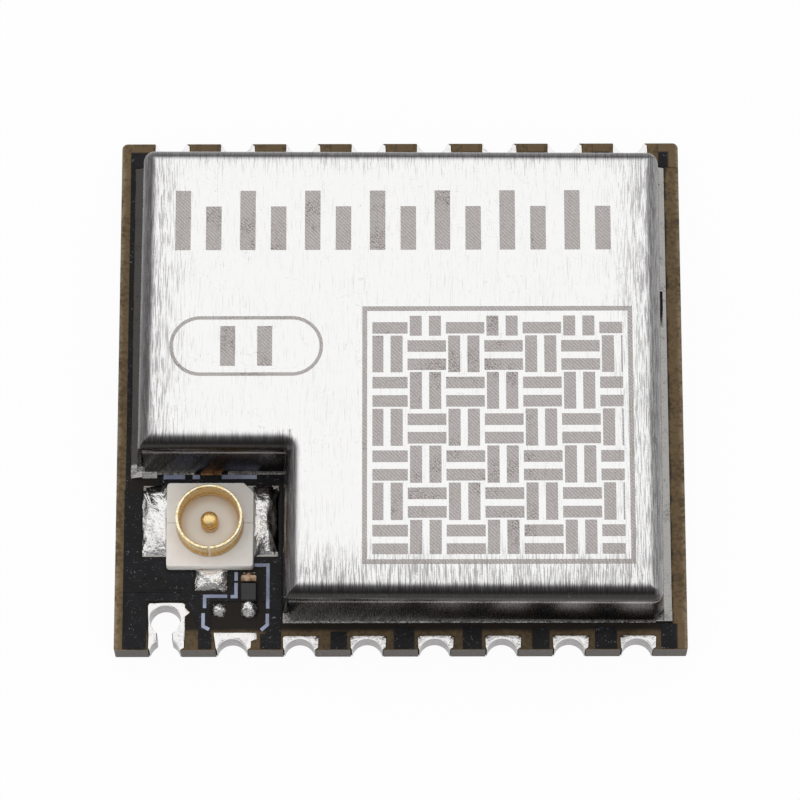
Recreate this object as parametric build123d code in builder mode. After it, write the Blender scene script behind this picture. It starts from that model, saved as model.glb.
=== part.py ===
from build123d import *
import os
from math import cos, radians, tan

os.makedirs("parts", exist_ok=True)

# Circuit board, with its underside at height zero
board_length = 17.0
board_width = 16.0
board_thickness = 0.8
board_back_corner = 0.17
board_front_corner = 0.05

# Half-round plated pads along the front and back edges
pad_pitch = 2.0
pads_per_row = int(board_length // pad_pitch)
pad_hole_radius = 0.46
pad_hole_set_out = 0.11
plating = 0.04
land_thickness = 0.04
land_left = 0.5
land_right = 0.58
land_reach = 0.43
land_edge_gap = 0.08
bottom_land_reach = 1.0
wide_land_left = 0.56
wide_land_right = 0.74
wide_land_reach = 0.54
wide_land_tail = 0.2

# Keyhole pad in the front left corner
keyhole_from_edge = 0.925
keyhole_radius = 0.455
keyhole_neck = 0.45
keyhole_land_left = 0.5
keyhole_land_right = 0.61
keyhole_land_reach = 1.45
solder_spike_length = 0.15
solder_spike_width = 0.15

# Shield can: a folded sheet, L-shaped in plan, with leaning walls
can_height = 2.4
can_sheet = 0.15
can_bend = 0.6
can_lean = 3.5
can_skew = -0.3
can_from_left = 0.77
can_from_right = 0.79
can_from_edge = 1.03
notch_clearance_side = 0.163
notch_clearance_back = 0.375
open_corner_gap = 0.16
open_corner_depth = 0.13
trace_port_length = 1.0
trace_port_height = 0.2

# Tinned ground land under the can and the solder along its foot
ground_land_width = 0.6
ground_land_show_side = 0.19
ground_land_show_edge = 0.06
ground_land_show_notch = 0.01
corner_land_length = 0.78
corner_land_width = 0.38
corner_land_show = 0.12
seam_height = 0.16
seam_lip = 0.03
pocket_from_back = 4.0
pocket_length = 1.15
pocket_width = 0.09
pocket_from_edge = 0.1

# Antenna socket in the notch
socket_from_left = 2.83
socket_from_front = 3.765
socket_size = 2.6
socket_body_height = 0.4
socket_key_corner = 0.3
socket_corner = 0.1
shell_radius = 1.0
shell_wall = 0.11
shell_height = 1.25
shell_groove_depth = 0.05
shell_groove_height = 0.66
shell_groove_width = 0.28
shell_lip = 0.04
shell_slit = 0.04
contact_sheet = 0.1
foot_reach = 1.59
foot_width = 1.5
pin_radius = 0.27
pin_height = 1.05
pin_round = 0.13
pin_neck_radius = 0.1
tail_width = 0.54
tail_reach = 1.52
ground_solder_length = 0.66
ground_solder_width = 2.2
ground_solder_height = 0.16
ground_solder_rim = 0.32
ground_solder_gap = 0.06
ground_solder_shift = 0.21
signal_shift = 0.035
signal_solder_length = 0.93
signal_solder_width = 0.64
signal_solder_height = 0.18
antenna_trace_width = 0.61
antenna_trace_length = 4.2

# Selection site beside the socket: three lands, one chip
selector_from_socket_x = 1.17
selector_from_socket_front = 0.75
selector_pitch = 1.0
selector_row = 0.9
selector_land = 0.34
selector_length = 1.05
selector_width = 0.5
selector_height = 0.35
selector_end = 0.24
dome_radius = 0.25
dome_height = 0.24
end_dome_radius = 0.29
end_dome_height = 0.3

# Copper under the mask, with the squares between the pads placed from the pad on their left
copper_relief = 0.03
field_margin_side = 0.25
field_margin_edge = 0.03
field_gap = 0.05
band_width = 0.13
corner_square_width = 0.58
corner_square_reach = 0.68
corner_square_edge = 0.1
square_edge_gap = 0.02
via_radius = 0.08
tented_vias = [(-1.95, -1.635), (-1.45, -1.635)]
square_right_of_pad = 1.4
square_reach = 0.76
front_square_lefts = [0.92, 0.8, 0.84, 0.9, 0.76, 0.72]
front_square_reaches = [0.53, 0.66, 0.7, 0.66, 0.66, 0.76]
back_square_left = 0.9
clearance = 0.02

# Printed lines, placed from the selection site, and bars, placed from the socket
print_thickness = 0.02
print_width = 0.1
print_strokes = [
    [(0.15, 0.885), (0.555, 0.885), (0.555, -0.455)],
    [(0.545, -0.615), (0.545, -0.955), (0.36, -1.115)],
    [(-1.32, -0.435), (-1.32, -0.075), (-0.65, -0.075)],
    [(-0.55, -0.085), (-0.39, -0.085), (-0.39, 0.335)],
    [(-0.39, 0.405), (-0.39, 0.665)],
    [(-1.36, -0.595), (-1.36, -0.995), (-1.18, -1.095)],
]
print_bars = [(-1.42, -0.78), (-0.55, -0.33), (0.32, 1.37)]
print_bar_from_land = 0.09
print_bar_width = 0.13

# Small chips inside the can
chip_length = 1.0
chip_width = 0.5
chip_end = 0.22
capacitor_height = 0.5
resistor_height = 0.35
coil_height = 0.45
coil_waist = 0.08
chip_land_length = 0.5
chip_land_width = 0.56
fillet_run = 0.18
fillet_rise = 0.22

# Radio chip, oscillator, antenna switch and choke inside the can
radio_size = 4.0
radio_height = 0.75
radio_pad_length = 0.4
radio_pad_width = 0.25
radio_pad_pitch = 0.5
radio_pads_per_side = 6
radio_pad_thickness = 0.03
radio_centre_pad = 2.6
radio_corner_mark = 0.15
oscillator_length = 2.5
oscillator_width = 2.0
oscillator_base_height = 0.35
oscillator_lid_height = 0.35
oscillator_lid_inset = 0.12
oscillator_pad = 0.5
switch_length = 2.0
switch_width = 1.25
switch_height = 0.8
switch_stand_off = 0.05
switch_edge = 0.12
lead_pitch = 0.65
leads_per_side = 3
lead_width = 0.25
lead_sheet = 0.12
lead_reach = 0.42
lead_exit_height = 0.4
choke_length = 2.0
choke_width = 1.6
choke_height = 1.0
choke_end = 0.4
choke_edge = 0.1

# Layout inside the can, in shares of the board's length and width, with a turn for each chip
radio_share = (0.094, 0.0375)
oscillator_share = (0.33, 0.25)
switch_share = (-0.247, 0.1)
choke_share = (0.0235, -0.2625)
capacitor_layout = [
    (-0.012, 0.28, 90), (0.059, 0.28, 90), (0.13, 0.28, 90), (0.312, 0.056, 0),
    (0.312, -0.019, 0), (0.176, -0.2625, 90), (0.247, -0.2625, 90), (0.312, -0.1625, 0),
]
resistor_layout = [(0.312, -0.094, 0), (0.318, -0.2625, 90), (-0.259, 0.2625, 0), (-0.141, 0.275, 90)]
coil_layout = [(-0.118, 0.025, 0), (-0.118, 0.1, 0), (-0.118, 0.175, 0)]

# Places that follow from the sizes above
half_length = board_length / 2
half_width = board_width / 2
board_top = Plane.XY.offset(board_thickness)
first_pad_x = -pad_pitch * (pads_per_row - 1) / 2
wide_pad_x = first_pad_x + pad_pitch
keyhole_y = -half_width + keyhole_from_edge
can_left = -half_length + can_from_left
can_right = half_length - can_from_right
can_front = -half_width + can_from_edge
can_back = half_width - can_from_edge
can_spread = can_height * tan(radians(can_lean))
socket_x = -half_length + socket_from_left
socket_y = -half_width + socket_from_front
ground_solder_start = socket_size / 2 + ground_solder_gap
ground_solder_end = ground_solder_start + ground_solder_length
notch_x = socket_x + ground_solder_end + can_spread + notch_clearance_side
notch_y = socket_y + socket_size / 2 + can_spread + notch_clearance_back
notch_length = notch_x - can_left
notch_width = notch_y - can_front
land_left_x = can_left - can_spread - ground_land_show_side
land_right_x = can_right + can_spread + ground_land_show_side
land_front_y = can_front - can_spread - ground_land_show_edge
land_back_y = can_back + can_spread + ground_land_show_edge
land_notch_x = notch_x - can_spread - ground_land_show_notch
land_notch_y = notch_y - can_spread - ground_land_show_notch
corner_land_y = land_notch_y - corner_land_show
selector_x = socket_x + selector_from_socket_x
selector_y = socket_y - socket_size / 2 - selector_from_socket_front
top_middle = (Align.CENTER, Align.CENTER, Align.MIN)
inlaid_middle = (Align.CENTER, Align.CENTER, Align.MAX)

# Half-hole centres: the front row's first two pads have shapes of their own
front_pads = [
    (first_pad_x + i * pad_pitch, -half_width - pad_hole_set_out) for i in range(pads_per_row)
]
back_pads = [(x, -y) for x, y in front_pads]
plain_front_pads = front_pads[2:]
plain_pads = plain_front_pads + back_pads

# Squares of masked copper between the pads: edge, left, right and reach of each
edge_squares = [
    (-1, x + front_square_lefts[i % len(front_square_lefts)], x + square_right_of_pad,
     front_square_reaches[i % len(front_square_reaches)])
    for i, (x, y) in enumerate(plain_front_pads)
] + [(1, x + back_square_left, x + square_right_of_pad, square_reach) for x, y in back_pads]


def shared_place(share, turn=0):
    """Give the place on the board's top at shares of its length and width."""
    x, y = share
    return Location((x * board_length, y * board_width, board_thickness), (0, 0, turn))


def side_sign(point):
    """Give -1 for a pad on the front edge and 1 for one on the back edge."""
    return 1 if point[1] > 0 else -1


def pad_land(reach):
    """Sketch the lands of all plain pads, reaching the given distance in from the edge."""
    with BuildSketch(mode=Mode.PRIVATE) as lands:
        for x, y in plain_pads:
            middle = half_width - (reach + land_edge_gap) / 2
            with Locations((x + (land_right - land_left) / 2, side_sign((x, y)) * middle)):
                Rectangle(land_left + land_right, reach - land_edge_gap)
        with Locations(*plain_pads):
            Circle(pad_hole_radius, mode=Mode.SUBTRACT)
    return lands.sketch


def keyhole_opening(grow):
    """Sketch the keyhole: a round hole, a neck and the flare at the edge, grown all round."""
    with BuildSketch(mode=Mode.PRIVATE) as opening:
        with Locations((first_pad_x, keyhole_y)):
            Circle(keyhole_radius + grow)
        with Locations((first_pad_x, -half_width)):
            Rectangle(keyhole_neck + 2 * grow, 2 * keyhole_from_edge)
        with Locations(front_pads[0]):
            Circle(pad_hole_radius + grow)
    return opening.sketch


def board_rim():
    """Sketch the bare board outline, used to trim what would pass its edges."""
    with BuildSketch(mode=Mode.PRIVATE) as rim:
        Rectangle(board_length, board_width)
    return rim.sketch


def l_plan(left, right, front, back, step_x, step_y):
    """Sketch an L in plan: a rectangle without its front left corner."""
    with BuildSketch(mode=Mode.PRIVATE) as plan:
        with BuildLine():
            Polyline(
                (left, step_y), (step_x, step_y), (step_x, front), (right, front),
                (right, back), (left, back), close=True,
            )
        make_face()
    return plan.sketch


# Plain pads: half barrels through the board with a land on each face
with BuildPart() as castellated_pads:
    with BuildSketch():
        with Locations(*plain_pads):
            Circle(pad_hole_radius + plating)
            Circle(pad_hole_radius, mode=Mode.SUBTRACT)
        add(board_rim(), mode=Mode.INTERSECT)
    extrude(amount=board_thickness)
    with BuildSketch():
        add(pad_land(bottom_land_reach))
    extrude(amount=land_thickness)
    with BuildSketch(board_top):
        add(pad_land(land_reach))
    extrude(amount=-land_thickness)

# Second front pad: its land is wider, reaches further in and has a tail on the right
with BuildPart() as wide_pad:
    with BuildSketch():
        with Locations(front_pads[1]):
            Circle(pad_hole_radius + plating)
            Circle(pad_hole_radius, mode=Mode.SUBTRACT)
        add(board_rim(), mode=Mode.INTERSECT)
    extrude(amount=board_thickness)
    with BuildSketch(board_top):
        with BuildLine():
            Polyline(
                (wide_pad_x - wide_land_left, -half_width + wide_land_reach),
                (wide_pad_x + wide_land_right, -half_width + wide_land_reach),
                (wide_pad_x + wide_land_right, -half_width + wide_land_reach - wide_land_tail),
                (wide_pad_x + land_right, -half_width + wide_land_reach - wide_land_tail),
                (wide_pad_x + land_left, -half_width + land_edge_gap),
                (wide_pad_x - land_left, -half_width + land_edge_gap),
                close=True,
            )
        make_face()
        with Locations(front_pads[1]):
            Circle(pad_hole_radius, mode=Mode.SUBTRACT)
    extrude(amount=-land_thickness)
    with BuildSketch():
        with Locations((wide_pad_x, -half_width + (bottom_land_reach + land_edge_gap) / 2)):
            Rectangle(2 * land_left, bottom_land_reach - land_edge_gap)
        with Locations(front_pads[1]):
            Circle(pad_hole_radius, mode=Mode.SUBTRACT)
    extrude(amount=land_thickness)

# First front pad: a keyhole-shaped barrel with a tall land and a spike of solder beside it
keyhole_land_top = -half_width + keyhole_land_reach
with BuildPart() as keyhole_pad:
    with BuildSketch():
        add(keyhole_opening(plating))
        add(keyhole_opening(0), mode=Mode.SUBTRACT)
        add(board_rim(), mode=Mode.INTERSECT)
    extrude(amount=board_thickness)
    with BuildSketch() as keyhole_land:
        with BuildLine():
            Polyline(
                (first_pad_x - keyhole_land_left, -half_width + land_edge_gap),
                (first_pad_x - keyhole_land_left, keyhole_land_top),
                (first_pad_x + keyhole_land_right, keyhole_land_top),
                (first_pad_x + keyhole_land_right, keyhole_land_top - solder_spike_width),
                (first_pad_x + keyhole_land_right + solder_spike_length,
                 keyhole_land_top - 2 * solder_spike_width),
                (first_pad_x + keyhole_land_right, keyhole_land_top - 2 * solder_spike_width),
                (first_pad_x + keyhole_land_right, -half_width + land_edge_gap),
                close=True,
            )
        make_face()
        add(keyhole_opening(0), mode=Mode.SUBTRACT)
    extrude(amount=land_thickness)
    with BuildSketch(board_top):
        add(keyhole_land.sketch)
    extrude(amount=-land_thickness)

# Ground land: an L-shaped frame with a gap for the antenna trace and one bare pocket
pocket_x = land_right_x - pocket_from_edge - pocket_width
pocket_y = land_back_y - pocket_from_back
with BuildPart() as can_land:
    with BuildSketch(board_top):
        add(l_plan(land_left_x, land_right_x, land_front_y, land_back_y, land_notch_x, land_notch_y))
        with Locations((land_left_x + corner_land_length / 2, corner_land_y + corner_land_width / 2)):
            Rectangle(corner_land_length, corner_land_width)
        add(
            l_plan(
                land_left_x + ground_land_width, land_right_x - ground_land_width,
                land_front_y + ground_land_width, land_back_y - ground_land_width,
                land_notch_x + ground_land_width, land_notch_y + ground_land_width,
            ),
            mode=Mode.SUBTRACT,
        )
        with Locations((socket_x, land_notch_y)):
            Rectangle(trace_port_length, 2 * ground_land_width + clearance, mode=Mode.SUBTRACT)
        with BuildLine():
            Polyline(
                (pocket_x, pocket_y), (pocket_x + pocket_width, pocket_y),
                (pocket_x + pocket_width, pocket_y - pocket_length / 2),
                (pocket_x + pocket_width / 3, pocket_y - pocket_length),
                (pocket_x, pocket_y - pocket_length / 2), close=True,
            )
        make_face(mode=Mode.SUBTRACT)
    extrude(amount=-land_thickness)


def can_block(left, right, front, back, inset):
    """Build a block with leaning sides and a rounded top, inset all round by a wall.

    The four sizes are where the outer walls would meet the top if it had no bend.
    """
    foot_spread = can_spread - inset / cos(radians(can_lean))
    rise = can_height - inset
    top_spread = foot_spread - rise * tan(radians(can_lean))
    with BuildPart() as block:
        for height, spread in ((0, foot_spread), (rise, top_spread)):
            with BuildSketch(board_top.offset(height)):
                with Locations(((left + right) / 2, (front + back) / 2)):
                    Rectangle(right - left + 2 * spread, back - front + 2 * spread)
        loft()
        fillet(block.faces().sort_by(Axis.Z)[-1].edges(), can_bend - inset)
    return block.part


can_turn = Location((0, 0, 0), (0, 0, can_skew))
can_wide_outer = can_block(can_left, can_right, notch_y, can_back, 0)
can_deep_outer = can_block(notch_x, can_right, can_front, can_back, 0)
can_wide_inner = can_block(can_left, can_right, notch_y, can_back, can_sheet)
can_deep_inner = can_block(notch_x, can_right, can_front, can_back, can_sheet)

# The can's full form, used to shape the solder that wets its walls
with BuildPart() as can_form:
    with Locations(can_turn):
        add(can_wide_outer)
        add(can_deep_outer)

# Shield can: sheet walls and lid, open corners at the notch and a port for the trace
with BuildPart() as shield_can:
    with Locations(can_turn):
        add(can_wide_outer)
        add(can_deep_outer)
        add(can_wide_inner, mode=Mode.SUBTRACT)
        add(can_deep_inner, mode=Mode.SUBTRACT)
    with BuildSketch(board_top):
        with Locations((notch_x + open_corner_gap, can_front + open_corner_depth)):
            Rectangle(notch_width / 2, notch_width / 2, align=(Align.MAX, Align.MAX))
        with Locations((can_left + open_corner_gap, notch_y + open_corner_depth)):
            Rectangle(notch_length / 2, notch_length / 2, align=(Align.MAX, Align.MAX))
    extrude(amount=can_height, mode=Mode.SUBTRACT)
    with BuildSketch(board_top):
        with Locations((socket_x, notch_y)):
            Rectangle(trace_port_length, 4 * can_spread + can_sheet)
    extrude(amount=trace_port_height, mode=Mode.SUBTRACT)


def seam_section(wall_place, land_place):
    """Sketch the slanting section of a solder seam, from inside the wall out to the land's edge."""
    with BuildSketch(mode=Mode.PRIVATE) as section:
        with BuildLine():
            Polyline(
                (wall_place, board_thickness), (land_place, board_thickness),
                (land_place, board_thickness + seam_lip), (wall_place, board_thickness + seam_height),
                close=True,
            )
        make_face()
    return section.sketch


# Solder seam: strips along both sides, the strip at the notch and a mass at the front corner
with BuildPart() as can_solder:
    with BuildSketch(Plane.XZ.offset(-land_back_y)):
        add(seam_section(can_right, land_right_x))
    extrude(amount=land_back_y - land_front_y)
    with BuildSketch(Plane.XZ.offset(-land_back_y)):
        add(seam_section(can_left, land_left_x))
    extrude(amount=land_back_y - corner_land_y)
    with BuildSketch(Plane.YZ.offset(land_left_x)):
        add(seam_section(notch_y, corner_land_y))
    extrude(amount=corner_land_length)
    with BuildSketch(board_top):
        with BuildLine():
            Polyline(
                (land_right_x, land_front_y), (land_right_x, can_front + can_sheet),
                (can_right, can_front), (can_right - can_sheet, land_front_y), close=True,
            )
        make_face()
    extrude(amount=seam_height)
    add(can_form.part, mode=Mode.SUBTRACT)
    with BuildSketch(board_top):
        with Locations((pocket_x, pocket_y)):
            Rectangle(pocket_width, pocket_length, align=(Align.MIN, Align.MAX))
    extrude(amount=seam_height, mode=Mode.SUBTRACT)

# Socket shell: a ring with a snap groove and a seam slit, standing on two feet
ring_inside = shell_radius - shell_wall
groove_low = shell_groove_height - shell_groove_width / 2
groove_high = shell_groove_height + shell_groove_width / 2
groove_slant = shell_groove_depth
socket_section = Plane(
    origin=(socket_x, socket_y, board_thickness), x_dir=(1, 0, 0), z_dir=(0, -1, 0)
)
socket_axis = Axis((socket_x, socket_y, 0), (0, 0, 1))
with BuildPart() as socket_shell:
    with BuildSketch(socket_section):
        with BuildLine():
            Polyline(
                (ring_inside, contact_sheet), (shell_radius, contact_sheet),
                (shell_radius, groove_low),
                (shell_radius - shell_groove_depth, groove_low + groove_slant),
                (shell_radius - shell_groove_depth, groove_high - groove_slant),
                (shell_radius, groove_high), (shell_radius, shell_height - shell_lip),
                (shell_radius - shell_lip, shell_height), (ring_inside, shell_height),
                (ring_inside, groove_high),
                (ring_inside - shell_groove_depth, groove_high - groove_slant),
                (ring_inside - shell_groove_depth, groove_low + groove_slant),
                (ring_inside, groove_low), close=True,
            )
        make_face()
    revolve(axis=socket_axis)
    with BuildSketch(board_top.offset(socket_body_height)):
        with Locations((socket_x, socket_y)):
            Rectangle(shell_slit, 2 * shell_radius, align=(Align.CENTER, Align.MAX))
    extrude(amount=shell_height, mode=Mode.SUBTRACT)
    with BuildSketch(board_top):
        with Locations((socket_x, socket_y + ground_solder_shift)):
            Rectangle(2 * foot_reach, foot_width)
            Rectangle(2 * (shell_radius - 2 * shell_wall), foot_width, mode=Mode.SUBTRACT)
    extrude(amount=contact_sheet)

# Socket pin: a round-ended post on a thinner neck, with a tail that runs out to the front
with BuildPart() as socket_pin:
    with BuildSketch(socket_section):
        with BuildLine():
            Polyline(
                (0, 0), (pin_neck_radius, 0), (pin_neck_radius, socket_body_height),
                (pin_radius, socket_body_height), (pin_radius, pin_height - pin_round),
                (pin_radius - pin_round, pin_height), (0, pin_height), close=True,
            )
        make_face()
    revolve(axis=socket_axis)
    with BuildSketch(board_top):
        with Locations((socket_x, socket_y)):
            Rectangle(tail_width, tail_reach, align=(Align.CENTER, Align.MAX))
    extrude(amount=contact_sheet)

# Socket body: an insulating block with one key corner, moulded round the metal
with BuildPart() as socket_body:
    with BuildSketch(board_top) as body_outline:
        with Locations((socket_x, socket_y)):
            Rectangle(socket_size, socket_size)
        key_corner = (socket_x + socket_size / 2, socket_y + socket_size / 2, board_thickness)
        fillet(body_outline.vertices().sort_by_distance(key_corner)[1:], socket_corner)
        chamfer(body_outline.vertices().sort_by_distance(key_corner)[0], socket_key_corner)
    extrude(amount=socket_body_height)
    add(socket_shell.part, mode=Mode.SUBTRACT)
    add(socket_pin.part, mode=Mode.SUBTRACT)

# Solder on the two ground feet and on the tail
with BuildPart() as socket_ground_solder:
    with BuildSketch(board_top):
        with Locations((socket_x + ground_solder_start, socket_y + ground_solder_shift)):
            Rectangle(ground_solder_length, ground_solder_width, align=(Align.MIN, Align.CENTER))
    with BuildSketch(board_top.offset(ground_solder_height)):
        with Locations((socket_x + ground_solder_start, socket_y + ground_solder_shift)):
            Rectangle(
                ground_solder_length - ground_solder_rim, ground_solder_width - 2 * ground_solder_rim,
                align=(Align.MIN, Align.CENTER),
            )
    loft()
    mirror(about=Plane.YZ.offset(socket_x))
    add(socket_shell.part, mode=Mode.SUBTRACT)

signal_x = socket_x + signal_shift
signal_y = socket_y - socket_size / 2
with BuildPart() as socket_signal_solder:
    with BuildSketch(board_top):
        with Locations((signal_x, signal_y)):
            Rectangle(signal_solder_length, signal_solder_width, align=(Align.CENTER, Align.MAX))
    with BuildSketch(board_top.offset(signal_solder_height)):
        with Locations((socket_x, signal_y)):
            Rectangle(tail_width, signal_solder_width / 3, align=(Align.CENTER, Align.MAX))
    loft()
    add(socket_pin.part, mode=Mode.SUBTRACT)

# Antenna trace, flush in the board: the land under the tail and the strip to the can
trace_end_y = signal_y + antenna_trace_length
with BuildPart() as antenna_trace:
    with BuildSketch(board_top):
        with Locations((socket_x, signal_y)):
            Rectangle(antenna_trace_width, antenna_trace_length, align=(Align.CENTER, Align.MIN))
        with Locations((signal_x, signal_y + clearance)):
            Rectangle(
                signal_solder_length, signal_solder_width + clearance,
                align=(Align.CENTER, Align.MAX),
            )
    extrude(amount=-land_thickness)

# Lands under the socket's ground feet
with BuildPart() as socket_lands:
    with BuildSketch(board_top):
        with Locations((socket_x + shell_radius, socket_y + ground_solder_shift)):
            Rectangle(
                ground_solder_end - shell_radius, ground_solder_width,
                align=(Align.MIN, Align.CENTER),
            )
        mirror(about=Plane.YZ.offset(socket_x))
    extrude(amount=-land_thickness)

# Selection site: three lands, one chip across two of them and solder on all three
selector_end_places = [
    (selector_x, selector_y + selector_pitch / 2), (selector_x, selector_y - selector_pitch / 2),
]
free_land_place = (selector_x - selector_row, selector_y - selector_pitch / 2)
with BuildPart() as selector_lands:
    with BuildSketch(board_top):
        with Locations(*selector_end_places, free_land_place):
            Rectangle(selector_land, selector_land)
    extrude(amount=-land_thickness)

selector_place = Location((selector_x, selector_y, board_thickness))
selector_back_y = selector_y + selector_length / 2
with BuildPart() as selector_body:
    with Locations(selector_place):
        Box(
            selector_width - clearance, selector_length - 2 * selector_end,
            selector_height - clearance, align=top_middle,
        )

with BuildPart() as selector_terminals:
    with Locations(selector_place):
        with GridLocations(0, selector_length - selector_end, 1, 2):
            Box(selector_width, selector_end, selector_height, align=top_middle)


def solder_dome(radius, height):
    """Build a cap of solder with its flat side at height zero."""
    ball = (radius ** 2 + height ** 2) / (2 * height)
    with BuildPart() as dome:
        with Locations((0, 0, height - ball)):
            Sphere(ball)
        split(bisect_by=Plane.XY, keep=Keep.TOP)
    return dome.part


end_dome = solder_dome(end_dome_radius, end_dome_height)
free_dome = solder_dome(dome_radius, dome_height)
with BuildPart() as selector_solder:
    with Locations(Location((free_land_place[0], free_land_place[1], board_thickness))):
        add(free_dome)
    with Locations(Location((selector_x, selector_end_places[1][1], board_thickness))):
        add(end_dome)
    with BuildSketch(Plane.YZ.offset(selector_x - selector_width / 2)):
        with BuildLine():
            Polyline(
                (selector_back_y, board_thickness), (selector_back_y + fillet_run, board_thickness),
                (selector_back_y, board_thickness + fillet_rise), close=True,
            )
        make_face()
    extrude(amount=selector_width)
    with Locations(selector_place):
        Box(
            selector_width, selector_length, selector_height, align=top_middle, mode=Mode.SUBTRACT
        )

# Copper under the mask: the corner field, a band on the left and squares along the edges
field_right = land_notch_x - field_gap
field_back = land_notch_y - field_gap / 2
with BuildPart() as copper_areas:
    with BuildSketch(board_top):
        with Locations((-half_length + field_margin_side, -half_width + field_margin_edge)):
            Rectangle(
                field_right + half_length - field_margin_side,
                field_back + half_width - field_margin_edge, align=(Align.MIN, Align.MIN),
            )
        with Locations((land_left_x + corner_land_length, corner_land_y)):
            Rectangle(
                half_length, 2 * corner_land_width, align=(Align.MAX, Align.CENTER),
                mode=Mode.SUBTRACT,
            )
        with Locations((land_left_x - field_gap / 2, corner_land_y - corner_land_width)):
            Rectangle(
                band_width,
                half_width - corner_square_edge - corner_land_y + corner_land_width,
                align=(Align.MAX, Align.MIN),
            )
        with Locations((land_left_x - band_width / 2, half_width - corner_square_edge)):
            Rectangle(
                corner_square_width, corner_square_reach, align=(Align.MIN, Align.MAX),
            )
        for edge, left, right, reach in edge_squares:
            with Locations(((left + right) / 2, edge * (half_width - square_edge_gap))):
                Rectangle(
                    right - left, reach, align=(Align.CENTER, Align.MAX if edge > 0 else Align.MIN)
                )
        with Locations((socket_x, socket_y + ground_solder_shift)):
            Rectangle(
                2 * (ground_solder_end + field_gap),
                ground_solder_width + 2 * field_gap, mode=Mode.SUBTRACT,
            )
        with Locations((socket_x, socket_y)):
            Rectangle(
                socket_size + 2 * clearance, socket_size + 2 * clearance, mode=Mode.SUBTRACT
            )
            with Locations(*tented_vias):
                Circle(via_radius, mode=Mode.SUBTRACT)
        with Locations((signal_x, signal_y + clearance)):
            Rectangle(
                signal_solder_length + 2 * field_gap, signal_solder_width + 2 * field_gap,
                align=(Align.CENTER, Align.MAX), mode=Mode.SUBTRACT,
            )
        with Locations((selector_x + selector_width, selector_y - dome_radius + clearance)):
            Rectangle(
                selector_row + selector_width + dome_radius, selector_pitch,
                align=(Align.MAX, Align.MAX), mode=Mode.SUBTRACT,
            )
        with Locations((selector_x, selector_y - dome_radius)):
            Rectangle(
                2 * dome_radius + selector_width / 2, selector_length,
                align=(Align.CENTER, Align.MIN), mode=Mode.SUBTRACT,
            )
        with BuildLine():
            Polyline(
                (first_pad_x - keyhole_land_left - field_gap, -half_width),
                (first_pad_x - keyhole_land_left - field_gap, keyhole_land_top + field_gap),
                (first_pad_x + keyhole_land_right + field_gap, keyhole_land_top + field_gap),
                (first_pad_x + keyhole_land_right + solder_spike_length + field_gap,
                 keyhole_land_top - 2 * solder_spike_width),
                (first_pad_x + pad_pitch / 2, -half_width + keyhole_land_reach / 2),
                (first_pad_x + pad_pitch / 2, -half_width), close=True,
            )
        make_face(mode=Mode.SUBTRACT)
        with Locations((wide_pad_x - wide_land_left - field_gap, -half_width)):
            Rectangle(
                wide_land_left + wide_land_right + 3 * field_gap, wide_land_reach + field_gap,
                align=(Align.MIN, Align.MIN), mode=Mode.SUBTRACT,
            )
    extrude(amount=copper_relief)

# Printed lines round the selection site and behind the socket
with BuildPart() as silkscreen_lines:
    with BuildSketch(board_top):
        for stroke in print_strokes:
            with BuildLine():
                Polyline(*[(selector_x + x, selector_y + y) for x, y in stroke])
            trace(line_width=print_width)
        with Locations((socket_x, land_notch_y - print_bar_from_land)):
            for left, right in print_bars:
                with Locations(((left + right) / 2, 0)):
                    Rectangle(right - left, print_bar_width)
    extrude(amount=copper_relief + print_thickness)
    add(copper_areas.part, mode=Mode.SUBTRACT)

# Places of the parts inside the can
coupling_y = trace_end_y + (chip_length + chip_land_length) / 2
capacitor_places = [shared_place((x, y), turn) for x, y, turn in capacitor_layout]
capacitor_places.append(Location((socket_x, coupling_y, board_thickness), (0, 0, 90)))
resistor_places = [shared_place((x, y), turn) for x, y, turn in resistor_layout]
coil_places = [shared_place((x, y), turn) for x, y, turn in coil_layout]
chip_places = capacitor_places + resistor_places + coil_places
radio_place = shared_place(radio_share)
oscillator_place = shared_place(oscillator_share)
switch_place = shared_place(switch_share)
choke_place = shared_place(choke_share)


def chip_body(places, height, waist):
    """Build the bodies of small two-ended chips at the given places."""
    with BuildPart() as bodies:
        with Locations(*places):
            Box(
                chip_length - 2 * chip_end, chip_width - 2 * waist, height - waist, align=top_middle
            )
    return bodies.part


def chip_ends(places, height):
    """Build the end caps of small two-ended chips at the given places."""
    with BuildPart() as ends:
        with Locations(*places):
            with GridLocations(chip_length - chip_end, 0, 2, 1):
                Box(chip_end, chip_width, height, align=top_middle)
    return ends.part


with BuildPart() as capacitor_bodies:
    add(chip_body(capacitor_places, capacitor_height, clearance))
with BuildPart() as capacitor_terminals:
    add(chip_ends(capacitor_places, capacitor_height))
with BuildPart() as resistor_bodies:
    add(chip_body(resistor_places, resistor_height, clearance))
with BuildPart() as resistor_terminals:
    add(chip_ends(resistor_places, resistor_height))
with BuildPart() as filter_coils:
    add(chip_body(coil_places, coil_height, coil_waist))
with BuildPart() as filter_coil_terminals:
    add(chip_ends(coil_places, coil_height))

# Radio chip: a square moulded body with pads along its sides and one in the middle
radio_row = (radio_size - radio_pad_length) / 2
with BuildPart() as transceiver_pads:
    with Locations(radio_place):
        Box(radio_centre_pad, radio_centre_pad, radio_pad_thickness, align=top_middle)
        with PolarLocations(radio_row, 4):
            with GridLocations(0, radio_pad_pitch, 1, radio_pads_per_side):
                Box(radio_pad_length, radio_pad_width, radio_pad_thickness, align=top_middle)

with BuildPart() as transceiver:
    with Locations(radio_place * Pos(0, 0, radio_pad_thickness)):
        Box(radio_size, radio_size, radio_height - radio_pad_thickness, align=top_middle)
    with Locations(radio_place * Pos(-radio_row, radio_row, radio_height)):
        Cylinder(
            radio_corner_mark, radio_pad_thickness, align=inlaid_middle, mode=Mode.SUBTRACT
        )

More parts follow.
